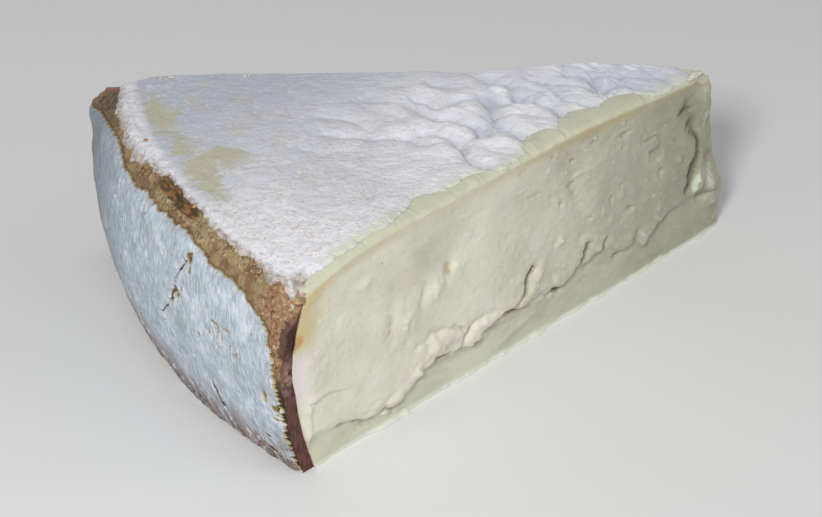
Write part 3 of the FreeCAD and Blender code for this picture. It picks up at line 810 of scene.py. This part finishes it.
# How far out the coat laps over the bark: angle about the wheel's centre, then radius.
LAP_AT = (164, 168, 171, 177, 179, 181, 183.5, 187, 189.5, 191, 194, 198, 202, 204, 206)
LAP_RADIUS = (139.2, 140.4, 140.8, 140.8, 139.7, 138.8, 137.7, 137.1, 137.4, 138.2, 138.7, 139.3,
              140.1, 140.9, 141.6)
BARK_DROP = 0.4
BARK_TOP_WIDTH = 0.9
SHOULDER_DROP = 9.0
BARK_BULGE = BARREL_RADIUS + BARK_THICKNESS
BARK_TOP = RIM_HEIGHT - BARK_DROP


def bark_outside(height):
    """Radius of the bark's outer face, with its worn, rounded shoulder."""
    shoulder = BARK_TOP - SHOULDER_DROP
    lip = barrel(HEEL_REACH + BARK_GAP, BARREL_RADIUS, BARK_TOP) + BARK_TOP_WIDTH
    worn = np.clip((height - shoulder) / SHOULDER_DROP, 0.0, 1.0)
    rounded = mix(barrel(WHEEL_RADIUS, BARK_BULGE, shoulder) - 0.9 * worn, lip, worn ** 2.6)
    return np.where(height > shoulder, rounded, barrel(WHEEL_RADIUS, BARK_BULGE, height))


SHOULDER_HEIGHTS = np.linspace(BARK_TOP, BARK_TOP - SHOULDER_DROP, 60)
SHOULDER_RADII = bark_outside(SHOULDER_HEIGHTS)

coat = fine_block("white_rind", (85, 55, 1), ((lambda x, y, z: z > LAST, 4),))
x, y, z = corners_of(coat).T
rim = np.full(len(x), RIM_HEIGHT)
start_at = (COAT_START + 0.8 * lumpy(y, 0.12, 91)) / COAT_LENGTH
along = mix(start_at, 1.0, 1.0 - x)
near_edge = plan_point(along, np.zeros(len(x)), rim)
near_line = near_edge @ NEAR_CUT
far_edge = plan_point(along, np.ones(len(x)), rim)
width = np.linalg.norm(far_edge - near_edge, axis=1)
first_share = np.clip(bevel_width(near_line) / width, 0.0, 0.45)
across = mix(first_share, 1.0, y)
place = plan_point(along, across, rim)
from_wheel = place - WHEEL_CENTRE
radius = np.linalg.norm(from_wheel, axis=1)
worn_angle = np.degrees(np.arctan2(from_wheel[:, 1], from_wheel[:, 0]) % math.tau)
lap = np.interp(worn_angle, LAP_AT, LAP_RADIUS) - barrel(HEEL_REACH, BARREL_RADIUS, RIM_HEIGHT)
ragged_rim = lumps(place, (0.55, 2.6, 92), (0.55, 1.0, 93), (0.30, 0.55, 98))
lap = (lap + ragged_rim) * step(0.95, 1.0, along)
place = place + from_wheel / radius[:, None] * lap[:, None]
radius = radius + lap
inland = -(place @ NEAR_OUTWARD)
folded = wrinkles(place) * step(0.0, 6.0, inland)
coat_top = dome(along, across, place) + folded
under = coat_top - COAT_THICKNESS * 0.98
on_bark = np.interp(radius, SHOULDER_RADII, SHOULDER_HEIGHTS) - NEAR_SAG * hump(inland, NEAR_SAG_WIDTH)
on_bark -= FAR_SAG * hump(np.linalg.norm(place - FAR_CORNER, axis=1), FAR_SAG_WIDTH)
draped = step(137.3, 138.3, radius)
coat_top = mix(coat_top, on_bark + 0.85, draped)
under = mix(under, on_bark - 0.35, draped)
edges = np.minimum.reduce((
    (across - first_share) * width / NEAR_TAPER,
    (1.0 - across) * width,
    (1.0 - along) * WEDGE_LENGTH / RIM_TAPER,
    (along - start_at) * COAT_LENGTH,
))
inset = 1.0 - np.clip(edges, 0.0, 1.0)
rounding = 1.0 - np.sqrt(np.maximum(1.0 - inset ** 2, 0.0))
roll = 0.15 * hump(np.interp(worn_angle, LAP_AT, LAP_RADIUS) - radius - 3.2, 3.4)
cotton = rugged(place, 1.7, 97, 3) * (0.12 * step(122.0, 132.0, radius) + 0.24 * step(134.0, 136.5, radius))
fibres = place @ np.array(((0.91, 0.41), (-0.41, 0.91)))
felt = 0.07 * lumpy(fibres * (0.35, 1.0), 0.9, 94) + 0.09 * lumpy(fibres * (0.4, 1.0), 2.1, 95)
felt += 0.06 * lumpy(place, 0.85, 96)
coat_top = coat_top + (felt + cotton + roll) * step(0.0, 1.0, edges)
coat_top -= np.where(radius > 132.0, 0.85, 0.60) * COAT_THICKNESS * rounding
height = np.where(z > 0.5, np.maximum(coat_top, under + 0.05), under)
set_shape(coat, place, height)
note(
    coat,
    wheel_angle=worn_angle,
    wheel_radius=radius,
    from_edge=edges,
    inland=inland,
    folds=folded,
    bevel=bevel_width(near_line),
)

WHITE = tone(236, 235, 240)
WHITE_COOL = tone(212, 216, 225)
STREAK_SHADE_GREY = tone(196, 197, 206)
FAR_AND_TIP_SHADE = tone(168, 177, 194)
CREASE_SHADE_BLUE = tone(172, 182, 198)
CROWN_HIGHLIGHT = tone(242, 243, 245)
WORN_CREAM = tone(186, 180, 150)
SPECK_PINK = tone(194, 174, 178)
SPECK_YELLOW = tone(198, 194, 162)
LIP_GREEN = tone(212, 216, 198)
RIM_SPECK = tone(150, 128, 116)
FRINGE_PALE = tone(186, 172, 150)
FRINGE_BROWN = tone(112, 88, 66)

finish = Finish("felted_mould")
spot = finish.here()
angle_in, radius_in, from_edge = finish.noted("wheel_angle", "wheel_radius", "from_edge")
inland_in, folds, bevel_in = finish.noted("inland", "folds", "bevel")
clouds = spot.noise(0.02)
patches = spot.noise(0.008, 4.0, 0.6)
streaky = spot.stretched((0.0, 0.0, -0.42), 2.4, 1.0, 1.0).noise(0.0016, 4.0, 0.65)
speckle = spot.noise(0.0008, 4.0, 0.75)
mottle = spot.stretched((0.3, 0.2, 1.9), 1.4, 1.0, 1.0).noise(0.0013, 4.0, 0.7)
heelward = radius_in.step(50.0, 122.0) * (0.45 + patches.step(0.38, 0.62) * 0.75)
dirty = speckle.step(0.50, 0.64) * (heelward * 0.60 + 0.12)
dingy = mottle.step(0.52, 0.68) * (heelward * 0.46 + 0.06)
glint = mottle.fall(0.34, 0.46) * (heelward * 0.35 + 0.15)
angle_bent = angle_in + (clouds - 0.5) * 9.0 + (patches - 0.5) * 7.0
radius_bent = radius_in + (patches - 0.5) * 12.0 + (streaky - 0.5) * 7.0
patch_far = angle_bent.hump(172.0, 6.4) * radius_bent.hump(131.5, 6.5)
patch_link = angle_bent.hump(178.0, 5.0) * radius_bent.hump(130.0, 5.0) * 0.7
patch_rim = angle_bent.hump(185.4, 7.0) * radius_bent.hump(131.0, 5.0)
patch_arm = angle_bent.hump(182.6, 4.0) * radius_bent.hump(124.0, 12.0)
worn = patch_far.most(patch_link).most(patch_rim).most(patch_arm)
worn = worn + (speckle - 0.5) * 0.5 + (mottle - 0.5) * 0.35
faint = radius_bent.hump(118.0, 22.0) * angle_bent.hump(180.0, 26.0) * patches.step(0.5, 0.66)
rim_white = radius_in.step(133.8, 136.4) * 0.7
rim_specks = radius_in.step(134.0, 136.0) * speckle.step(0.57, 0.66) * 0.6
lip = (from_edge + (patches - 0.5) * 1.2).fall(0.1, 1.1) * radius_in.fall(128.0, 134.0)
fringe = (from_edge + (speckle - 0.5) * 2.4 + (patches - 0.5) * 1.6).fall(0.1, 1.0)
fringe_colour = finish.tint(mottle.step(0.44, 0.56), FRINGE_PALE, FRINGE_BROWN)
relief = streaky * 0.5 + speckle * 0.6 + mottle * 0.4 + spot.noise(0.005) * 0.8
colour = finish.layered(WHITE, (
    (clouds.step(0.4, 0.65) * 0.7, WHITE_COOL),
    # painted shade: the coat greys towards the far side and towards the tip, as the light falls off
    (inland_in.step(14.0, 74.0) * 0.80, FAR_AND_TIP_SHADE),
    (radius_in.fall(6.0, 62.0) * 0.55, FAR_AND_TIP_SHADE),
    # painted shade: the creases of the wrinkles are tinted grey-blue
    ((0.0 - folds).step(0.45, 1.9) * 0.55, CREASE_SHADE_BLUE),
    # painted highlight: the crowns of the wrinkles are whitened, on the half towards the tip
    (folds.step(-0.15, 0.55) * 0.75 * radius_in.fall(62.0, 92.0), CROWN_HIGHLIGHT),
    # painted highlight streaks: grey streaks between white ones, laid along the view's horizontal
    (streaky.step(0.50, 0.68) * 0.30, STREAK_SHADE_GREY),
    (dirty, SPECK_PINK),
    (dingy, SPECK_YELLOW),
    (glint, WHITE),
    (worn.step(0.10, 0.66) * 0.85, WORN_CREAM),
    (faint * 0.35, WORN_CREAM),
    (rim_white, WHITE),
    (rim_specks, RIM_SPECK),
    (lip * (0.9 - bevel_in.step(2.5, 4.5) * 0.6), LIP_GREEN),
    (fringe * radius_in.step(134.5, 136.5) * 0.75, fringe_colour),
))
finish.close(coat, {
    "Base Color": colour,
    "Roughness": 0.95,
    "Specular IOR Level": 0.15,
    "Subsurface Weight": 0.12,
    "Subsurface Radius": (1.0, 0.95, 0.85),
    "Subsurface Scale": 0.0008,
    "Sheen Weight": 0.2,
    "Sheen Roughness": 0.6,
    "Normal": finish.bump(relief, 0.0006, 0.95),
})
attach(coat, "root")
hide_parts("cheese")


# ---------------------------------------------------------------- bark band
# The strap of spruce bark that held the wheel together while it ripened.  It was boiled soft
# and wrapped round the young cheese.  A bluish-white crust grew over all but its top edge and
# the strip beside the knife cut, and has broken away in saw teeth there.

CRUST_THICKNESS = 0.6
ARC_START = 185.0

# Height of the crust's upper edge by angle, and its distance from the knife cut by height.
CRUST_AT = (164, 168.8, 172, 176, 180, 184, 187, 190.5, 193.8, 197, 199.4, 200.9, 202, 206)
CRUST_TOP = (43.6, 44, 44.6, 44.1, 43.9, 44.2, 44.5, 44.4, 44, 43.6, 42.8, 41.4, 40.2, 38)
MARGIN_AT = (0, 10, 16, 22, 26, 32, 36, 40, 42, 46)
MARGIN = (1.1, 1.1, 1.1, 1.3, 1.7, 2.7, 4.6, 7.6, 9.5, 11)

# Chips in the crust: angle about the wheel's centre, height, half length, half height.
CHIPS = (
    (190.6, 32.2, 1.5, 0.8), (190.1, 29.8, 0.8, 1.5), (191, 31, 0.5, 1.4), (191.6, 33.4, 0.5, 0.5),
    (194.5, 25.6, 0.4, 0.8), (196.4, 31.8, 0.8, 0.3), (197, 30.4, 0.3, 1.2), (197.7, 29.4, 0.3, 1.3),
    (198.2, 32, 0.8, 0.3), (198.8, 28.4, 0.3, 0.9), (199.6, 27.2, 0.4, 1), (197.4, 26.6, 0.5, 0.3),
    (196, 29, 0.3, 0.5), (203.2, 22, 0.7, 1.7), (204.3, 19.6, 1, 1), (204.1, 16.2, 0.6, 0.4),
    (192.1, 41.9, 1.1, 0.9), (192.4, 39.2, 0.4, 0.9), (191.6, 40.4, 0.6, 0.4), (185.7, 32, 0.5, 0.5),
    (177.1, 36.5, 0.6, 0.6), (179.2, 32.9, 0.4, 0.8), (183.3, 42.5, 0.4, 0.8), (177.6, 40.8, 0.4, 1.6),
    (188, 38, 0.4, 0.4), (171.5, 22, 0.4, 1), (182, 20, 0.3, 0.8), (188.6, 15, 0.3, 0.6),
    (180.6, 27, 0.4, 0.4), (186.9, 24, 0.3, 0.5), (193.4, 19, 0.3, 0.5), (174, 30, 0.4, 0.9),
)

# Cracks in the crust: half their opening, then the angle and height along each.
CRACKS = (
    (0.55, ((195.6, 14.4), (196.2, 11.4), (196.6, 8.6), (197.8, 5.4))),
    (0.50, ((198.6, 5), (200.4, 3.6), (202.3, 2.6))),
    (0.38, ((200.2, 6.4), (202, 4.8), (203.6, 4.4))),
    (0.16, ((202.2, 9.4), (204, 8.4))),
    (0.16, ((191.6, 39.6), (190.9, 36.4), (190.4, 33.4))),
    (0.16, ((190, 29), (189.5, 26.4), (188.2, 22.8))),
    (0.50, ((186, 6.8), (189.6, 4), (192.6, 2.8))),
    (0.42, ((192.8, 9.6), (194.2, 6.8), (195, 4.4))),
    (0.40, ((174, 12), (177.5, 9), (180.6, 5))),
    (0.36, ((181.2, 10), (183, 7.4), (185.4, 5.2))),
)


def arc_at(turn):
    """Way round the wheel's outside, in millimetres, to an angle in degrees."""
    return (turn - ARC_START) * math.radians(WHEEL_RADIUS)


band = fine_block("bark_band", (3, 82, 38), (
    (lambda x, y, z: (x < FIRST) | (z > LAST) | (y < FIRST), 4),
    (lambda x, y, z: y > LAST, 2),
))
x, y, z = corners_of(band).T
height = z * BARK_TOP
inner = barrel(HEEL_REACH + BARK_GAP, BARREL_RADIUS, height)
outer = bark_outside(height)
radius = mix(outer, inner, x)
start, end = angles_at(radius)
angle = mix(start, end, y)
degrees = np.degrees(angle)
arc = arc_at(degrees)
from_near = (start - angle) * radius
from_far = (angle - end) * radius
skin = stacked(arc, height)
wave = (arc + 0.8 * lumpy(arc, 3.0, 100)) / 2.5
teeth = 0.22 * (wave % 1.0 - 0.5) + 0.40 * lumpy(arc, 1.1, 102)
teeth = teeth + 0.7 * lumpy(arc, 6.0, 101)
crust_top = np.interp(degrees, CRUST_AT, CRUST_TOP) + teeth + 0.25 * lumpy(skin, 0.9, 103)
wave = (height + 0.7 * lumpy(skin * (0.0, 1.0), 2.6, 108)) / 1.6
notches = 1.1 * (wave % 1.0 - 0.5) + 0.45 * lumpy(skin * (0.0, 1.0), 0.8, 105)
margin = np.interp(height, MARGIN_AT, MARGIN) + notches * step(0.0, 2.0, height)
crust = np.minimum(crust_top - height, from_near - margin)
crust = np.minimum(crust, from_far - 0.8 - 0.6 * lumpy(skin, 2.0, 106))
crust = np.minimum(crust, height - 0.9 - 1.3 * lumpy(arc, 7.0, 109) - 0.6 * lumpy(skin, 1.8, 110))
for chip_angle, level, half_length, half_height in CHIPS:
    wide = (arc - arc_at(chip_angle)) / half_length
    tall = (height - level) / half_height
    rough_edge = 0.45 * lumpy(skin, 0.8, 107)
    crust = np.minimum(crust, (np.hypot(wide, tall) - 1.0 + rough_edge) * min(half_length, half_height))
crack = np.full(len(crust), 9.0)
for opening, chain in CRACKS:
    points = [(arc_at(turn), level) for turn, level in chain]
    crack = np.minimum(crack, to_chain(skin + 0.4 * stacked(teeth, notches), points) - opening)
crust = np.minimum(crust, crack)
on_outer = x < FIRST
on_top = z > LAST
steep = skin @ np.array(((0.95, -0.31), (0.31, 0.95)))
bark_relief = 0.13 * lumpy(steep * (1.0, 0.25), 1.4, 111) + 0.08 * lumpy(steep * (1.0, 0.35), 0.7, 112)
bark_relief += 0.30 * lumpy(skin, 4.5, 113)
crumbly = np.maximum(step(44.6, 46.4, height), fall(5.0, 9.0, from_near) * step(20.0, 30.0, height))
crumbly = np.maximum(crumbly, 1.6 * fall(5.0, 14.0, from_far) * step(36.0, 42.0, height))
bark_relief += crumbly * lumps(skin * (0.6, 1.0), (0.30, 1.5, 122), (0.24, 0.8, 123))
upright = skin @ np.array(((0.94, 0.34), (-0.34, 0.94)))
crust_relief = 0.09 * lumpy(upright * (1.0, 0.2), 1.2, 114) + 0.07 * lumpy(upright * (1.0, 0.3), 0.6, 115)
crust_relief += lumps(skin, (0.16, 5.0, 116), (0.10, 1.4, 117))
covered = step(-0.05, 0.30, crust)
curl = 0.12 * hump(crust - 0.4, 0.4) - 0.25 * hump(crust + 0.35, 0.3)
out = mix(bark_relief, CRUST_THICKNESS + crust_relief, covered) + curl
out += 0.9 * hump(from_near, 9.0) * hump(height - 30.0, 9.0)
out -= 0.9 * hump(from_near, 1.6) * fall(22.0, 30.0, height)
flare = hump(from_far, 6.0) * step(34.0, 46.0, height)
out += 3.0 * flare
out -= hump(from_far - 3.0, 9.0) * fall(2.0, 14.0, height)
radius = radius + on_outer * out + (~on_outer) * (1.0 - x) * 0.5 * bark_relief
radius = radius + on_top * (~on_outer) * (1.0 - x) * 3.0 * flare
sag = FAR_SAG * hump(from_far, FAR_SAG_WIDTH) * step(20.0, 44.0, height)
sag += NEAR_SAG * hump(from_near, NEAR_SAG_WIDTH) * step(30.0, 46.0, height)
splinter = span(182.0, 183.6, 189.8, 191.4, degrees)
ridge = on_top * (x > 0.3) * (1.3 + 0.9 * lumpy(skin, 1.9, 118)) * splinter
knob = hump(from_near, 2.2) * hump(height - 38.0, 6.0)
plan = WHEEL_CENTRE + radius[:, None] * stacked(np.cos(angle), np.sin(angle))
on_end = y < FIRST
knotty = step(-0.2, 0.6, lumpy(stacked(radius, height), 2.4, 124) + 0.4)
end_relief = 0.9 * knob * fall(0.25, 0.55, x) * knotty
end_relief = end_relief + 0.14 * lumpy(stacked(radius, height * 0.4), 1.0, 119) - 0.15
plan = plan + (on_end * end_relief * step(0.0, 1.0, height) * 0.8)[:, None] * NEAR_OUTWARD
bumpy_top = on_top * lumps(skin, (0.45, 1.3, 120), (0.25, 3.4, 121))
set_shape(band, plan, np.maximum(height - sag + bumpy_top + ridge, 0.0))
note(
    band,
    crust=np.where(on_outer, crust, np.where(y > LAST, -1.0, -3.0)),
    crack=crack,
    arc=arc,
    height=height,
    from_near=from_near,
    from_far=from_far,
    from_outside=on_end * x * BARK_THICKNESS,
    cut_end=(on_end | (y > LAST)).astype(float),
)

CRUST_WHITE = tone(204, 212, 221)
CRUST_BRIGHT = tone(232, 236, 240)
CRUST_GREY = tone(158, 170, 180)
CRUST_GREEN = tone(150, 162, 158)
CRUST_SHADE = tone(122, 130, 138)
CRUST_DIRT = tone(134, 110, 102)
LOW_GRIME = tone(78, 56, 52)
TEETH_YELLOW = tone(190, 170, 118)
BARK_TAN = tone(158, 138, 104)
BARK_BROWN = tone(132, 104, 78)
BARK_DARK = tone(74, 58, 40)
BARK_PALE = tone(204, 180, 142)
BARK_ORANGE = tone(154, 116, 88)
BARK_GREY = tone(104, 94, 80)
END_PURPLE = tone(80, 52, 52)
END_BROWN = tone(112, 78, 70)
END_BLACK = tone(58, 42, 40)
END_PINK = tone(168, 142, 134)
GROOVE_SHADE = tone(42, 36, 24)
SPLINTER_BROWN = tone(142, 102, 64)
KNOB_BROWN = tone(84, 62, 54)

finish = Finish("bark_and_crust")
arc_in, level, crust_in, crack_in = finish.noted("arc", "height", "crust", "crack")
near_in, far_in, outside_in, end_in = finish.noted("from_near", "from_far", "from_outside", "cut_end")
spot = finish.here()
flat = finish.node("ShaderNodeCombineXYZ", {}, {"X": arc_in, "Y": level})
lengthwise = flat.stretched((0.0, 0.0, 0.32), 1.0, 4.0, 1.0)
fibre = lengthwise.noise(0.9, 5.0, 0.65)
coarse = flat.noise(4.0, 3.0)
grit = spot.noise(0.0009, 3.0, 0.7)
flecks = spot.noise(0.0006, 2.0)
near_corner = near_in.fall(6.0, 11.0) * level.step(22.0, 30.0)
upper = level.step(44.8, 46.4)
crumbly_in = upper.most(near_corner)
far_dark = far_in.fall(6.0, 16.0) * grit.fall(0.40, 0.52)
long_grain = spot.stretched((0.0, 0.0, 1.66), 3.0, 1.0, 1.0).noise(0.0009, 3.0, 0.6)
splinter_in = arc_in.hump(3.8, 12.5) * level.step(46.4, 47.2)
splinter_colour = finish.tint(long_grain.step(0.46, 0.62), BARK_DARK, SPLINTER_BROWN)
knob_side = (near_in + (grit - 0.5) * 1.6).fall(0.9, 2.0) * level.hump(38.5, 8.0)
low_corner = near_in.fall(1.2, 2.6) * level.fall(24.0, 31.0)
end_fibre = spot.stretched((0.0, 0.0, 0.0), 1.0, 1.0, 4.0).noise(0.0008, 4.0, 0.7)
knob_dark = level.hump(38.5, 7.5) * spot.noise(0.003).step(0.36, 0.56)
pink = level.hump(28.0, 8.0) * spot.noise(0.0018).step(0.45, 0.6)
orange_end = outside_in.fall(0.4, 1.2) * (level.step(42.5, 44.5) + level.hump(29.0, 5.0) * 0.8)
teeth_end = (outside_in + (grit - 0.5) * 1.6).fall(0.25, 0.7) * level.fall(22.0, 26.0)
sideways = flat.stretched((0.0, 0.0, 0.30), 1.0, 5.0, 1.0)
streaks = sideways.noise(0.55, 5.0, 0.65)
patchy = flat.noise(7.0, 4.0)
scabs = flat.noise(1.9, 4.0, 0.7).step(0.66, 0.74) * flat.noise(12.0, 1.0).step(0.5, 0.62)
dirt = level.fall(3.0, 15.0) * sideways.noise(1.6, 4.0, 0.7).step(0.40, 0.54)
grime = level.fall(1.5, 8.0) * sideways.noise(0.9, 4.0, 0.7).step(0.50, 0.60)
specks = flat.cells(3.4).fall(0.05, 0.13) * flat.noise(9.0, 2.0).step(0.42, 0.55)
mask = (crust_in + (flecks - 0.5) * 0.3).step(-0.02, 0.10)
rim_tint = (crust_in + (flecks - 0.5) * 0.4).hump(0.02, 0.22) * (1.0 - end_in)
shade = (crust_in + (grit - 0.5) * 0.5).hump(-0.22, 0.34) * (1.0 - end_in)
split_open = (crack_in + (flecks - 0.5) * 0.3).fall(-0.06, 0.16)
relief = (fibre * 0.6 + grit * 0.8) * (1.0 - mask) + streaks * mask * 0.6 + flecks * 0.4
end_colour = finish.layered(END_PURPLE, (
    (end_fibre.step(0.35, 0.65), END_BROWN),
    (knob_dark * 0.9, END_BLACK),
    (pink * 0.8, END_PINK),
    (orange_end * 0.9, finish.tint(grit.step(0.4, 0.6), BARK_BROWN, BARK_ORANGE)),
    # painted shade in the gaps between the crust's teeth on the cut end
    (teeth_end * 0.8, GROOVE_SHADE),
))
white = finish.layered(CRUST_GREY, (
    (streaks.step(0.36, 0.64), CRUST_WHITE),
    (patchy.step(0.50, 0.68) * 0.45, CRUST_BRIGHT),
    (patchy.fall(0.34, 0.48) * 0.40, CRUST_GREEN),
    (grit.step(0.62, 0.72) * 0.45, CRUST_GREEN),
    (grit.fall(0.30, 0.40) * 0.35, CRUST_BRIGHT),
    (scabs * 0.55, CRUST_DIRT),
    (dirt * 0.9, CRUST_DIRT),
    (grime * 0.85, LOW_GRIME),
    (far_in.fall(2.0, 52.0) * 0.75, CRUST_SHADE),
    (specks * 0.8, CRUST_DIRT),
))
colour = finish.layered(BARK_TAN, (
    (coarse.step(0.42, 0.6), BARK_BROWN),
    (fibre.fall(0.34, 0.52) * 0.35, BARK_DARK),
    (near_corner * 0.75, BARK_ORANGE),
    (grit.step(0.54, 0.66) * (crumbly_in * 0.60 + 0.12), BARK_PALE),
    (grit.fall(0.36, 0.46) * (crumbly_in * 0.7 + 0.15), BARK_DARK),
    (far_in.fall(8.0, 26.0) * 0.75, BARK_GREY),
    (far_dark * 0.8, BARK_DARK),
    ((far_in + (grit - 0.5) * 4.0).fall(0.2, 2.4) * level.step(30.0, 40.0) * 0.7, BARK_ORANGE),
    (splinter_in.step(0.05, 0.3) * 0.9, splinter_colour),
    (knob_side.step(0.1, 0.4) * 0.85, KNOB_BROWN),
    # painted shade and dark bark skin: the low strip at the near corner is painted almost black
    (low_corner * 0.92, GROOVE_SHADE),
    (end_in, end_colour),
    (shade * 0.6, BARK_DARK),
    (mask, white),
    (rim_tint * (0.35 + near_in.hump(0.0, 12.0) * 0.6), TEETH_YELLOW),
    # painted shade: the cracks in the crust are painted nearly black
    (split_open * 0.95, GROOVE_SHADE),
))
finish.close(band, {
    "Base Color": colour,
    "Roughness": 0.85 + mask * 0.1,
    "Specular IOR Level": 0.2,
    "Normal": finish.bump(relief, 0.0004, 0.8),
})
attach(band, "root")
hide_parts("bark_strap")


# ---------------------------------------------------------------- crumbs
# Crumbs of paste, mould and bark that the knife dragged over the rim and the tip, and that
# stick where they fell.  Each is a small ball pressed out of round.

# Each crumb: how far back and to the far side of the crossing it lies, its width and how
# brown it is, from 0 for paste to 1 for bark.
CRUMBS = (
    (121.2, 46.1, 1, 0.3), (119.2, 45.4, 0.7, 0), (118.4, 45.5, 1.1, 0), (102.6, 39, 1.2, 0),
    (101.6, 38.8, 0.7, 0), (5.1, -1.9, 1.5, 0), (3.6, -1.3, 2.2, 0), (2.2, -0.7, 1.7, 0),
    (124.3, -49.1, 2.2, 0.9), (125.3, -49, 1.4, 1), (123.3, -48.6, 1.5, 0.8), (122.6, -47.9, 0.9, 0.5),
    (134, 19.6, 0.8, 0.9), (134.4, 3.4, 0.8, 0.7), (133.4, -11, 0.7, 0.9), (130.4, -28, 0.7, 0.8),
    (128.6, -35.4, 0.8, 1),
)

under_crumbs = np.concatenate([corners_of(piece) for piece in (paste, coat, band)]) / MILLIMETRE
under_crumbs = under_crumbs[under_crumbs[:, 2] > 40.0]

pressed_crumbs = []
for number, (back, aside, size, brown) in enumerate(CRUMBS):
    bpy.ops.object.select_all(action="DESELECT")
    middle = np.array((-back, aside)) + CROSSING
    around = np.linalg.norm(under_crumbs[:, :2] - middle, axis=1) < 0.7
    height = under_crumbs[around, 2].max(initial=46.0) + 0.12 * size
    bpy.ops.mesh.primitive_ico_sphere_add(subdivisions=3, radius=0.5 * size * MILLIMETRE)
    bpy.context.object.location = (*(middle * MILLIMETRE), height * MILLIMETRE)
    bpy.ops.object.transform_apply(location=True, rotation=False, scale=False)
    crumb = bpy.context.object
    points = corners_of(crumb) / MILLIMETRE
    centre = points.mean(axis=0)
    spread = points - centre
    bumps = 1.0 + 0.38 * lumpy(points, 0.6 * size, 130 + number) + 0.18 * lumpy(points, 0.25 * size, 150)
    spread = spread * bumps[:, None] * (1.2, 0.9, 0.6)
    crumb.data.vertices.foreach_set("co", ((centre + spread) * MILLIMETRE).ravel())
    note(crumb, brown=np.full(len(points), brown))
    pressed_crumbs.append(crumb)
for crumb in pressed_crumbs:
    crumb.select_set(True)
bpy.context.view_layer.objects.active = pressed_crumbs[0]
bpy.ops.object.join()
crumbs = bpy.context.object
crumbs.name = "crumbs"
bpy.ops.object.shade_smooth()

CRUMB_PALE = tone(214, 214, 206)
CRUMB_DEEP = tone(188, 188, 168)
CRUMB_BROWN = tone(116, 82, 52)
CRUMB_TAN = tone(200, 162, 104)

finish = Finish("crumb")
spot = finish.here()
cloudy = spot.noise(0.0009, 4.0, 0.65)
paste_bit = finish.tint(cloudy.step(0.35, 0.65), CRUMB_PALE, CRUMB_DEEP)
bark_bit = finish.tint(cloudy.step(0.38, 0.60), CRUMB_BROWN, CRUMB_TAN)
finish.close(crumbs, {
    "Base Color": finish.tint(finish.noted("brown")[0], paste_bit, bark_bit),
    "Roughness": 0.55 + cloudy * 0.3,
    "Normal": finish.bump(cloudy, 0.0003, 0.7),
})
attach(crumbs, "root")


# ---------------------------------------------------------------- floor, light and camera
# A plain pale floor, one large soft lamp beside the camera with a weaker one opposite, and
# even light from all round.

bpy.ops.object.select_all(action="DESELECT")
bpy.ops.mesh.primitive_plane_add(size=6.0, location=(0.0, 0.0, 0.0))
floor = bpy.context.object
floor.name = "floor"
finish = Finish("pale_floor")
finish.close(floor, {"Base Color": tone(226, 226, 226), "Roughness": 0.9, "Specular IOR Level": 0.1})


LIT_POINT = Vector((0.0, 0.0, 0.02))
BACKDROP_GREY = 0.86
ROOM_STRENGTH = 0.36


def add_lamp(name, place, width, power):
    bpy.ops.object.light_add(type="AREA", location=place)
    lamp = bpy.context.object
    lamp.name = name
    lamp.data.shape = "DISK"
    lamp.data.size = width
    lamp.data.energy = power
    way = LIT_POINT - Vector(place)
    lamp.rotation_euler = way.to_track_quat("-Z", "Y").to_euler()


add_lamp("key", (-0.40, -0.50, 0.52), 0.16, 4.2)
add_lamp("fill", (0.9, -0.7, 0.7), 0.8, 2.0)

room = Finish("soft_room", "worlds")
bpy.context.scene.world = room.owner
seen = room.node("ShaderNodeLightPath", {}, {}, "Is Camera Ray")
for way in ("Is Glossy Ray", "Is Transmission Ray"):
    seen = seen.most(room.node("ShaderNodeLightPath", {}, {}, way))
soft_light = room.node("ShaderNodeBackground", {}, {"Color": (1.0,) * 4, "Strength": ROOM_STRENGTH})
backdrop = room.node("ShaderNodeBackground", {}, {"Color": (*(BACKDROP_GREY,) * 3, 1.0)})
choice = room.node("ShaderNodeMixShader", {}, {0: seen, 1: soft_light, 2: backdrop})
result = room.tree.nodes.new("ShaderNodeOutputWorld")
room.tree.links.new(choice.socket, result.inputs["Surface"])

CAMERA_PLACE = Vector((-0.21844, -0.44772, 0.34177))
CAMERA_FORWARD = Vector((0.35168, 0.75480, -0.55371))
CAMERA_UP = Vector((0.20672, 0.51428, 0.83234))
CAMERA_RIGHT = CAMERA_FORWARD.cross(CAMERA_UP).normalized()
bpy.ops.object.camera_add(location=CAMERA_PLACE)
camera = bpy.context.object
camera.data.sensor_width = 36.0
camera.data.lens = 109.5
camera.data.clip_start = 0.01
camera.data.clip_end = 20.0
upright = CAMERA_RIGHT.cross(CAMERA_FORWARD)
rows = zip(CAMERA_RIGHT, upright, -CAMERA_FORWARD, CAMERA_PLACE)
camera.matrix_world = Matrix((*rows, (0.0, 0.0, 0.0, 1.0)))
bpy.context.scene.camera = camera
bpy.context.scene.view_settings.view_transform = "Standard"
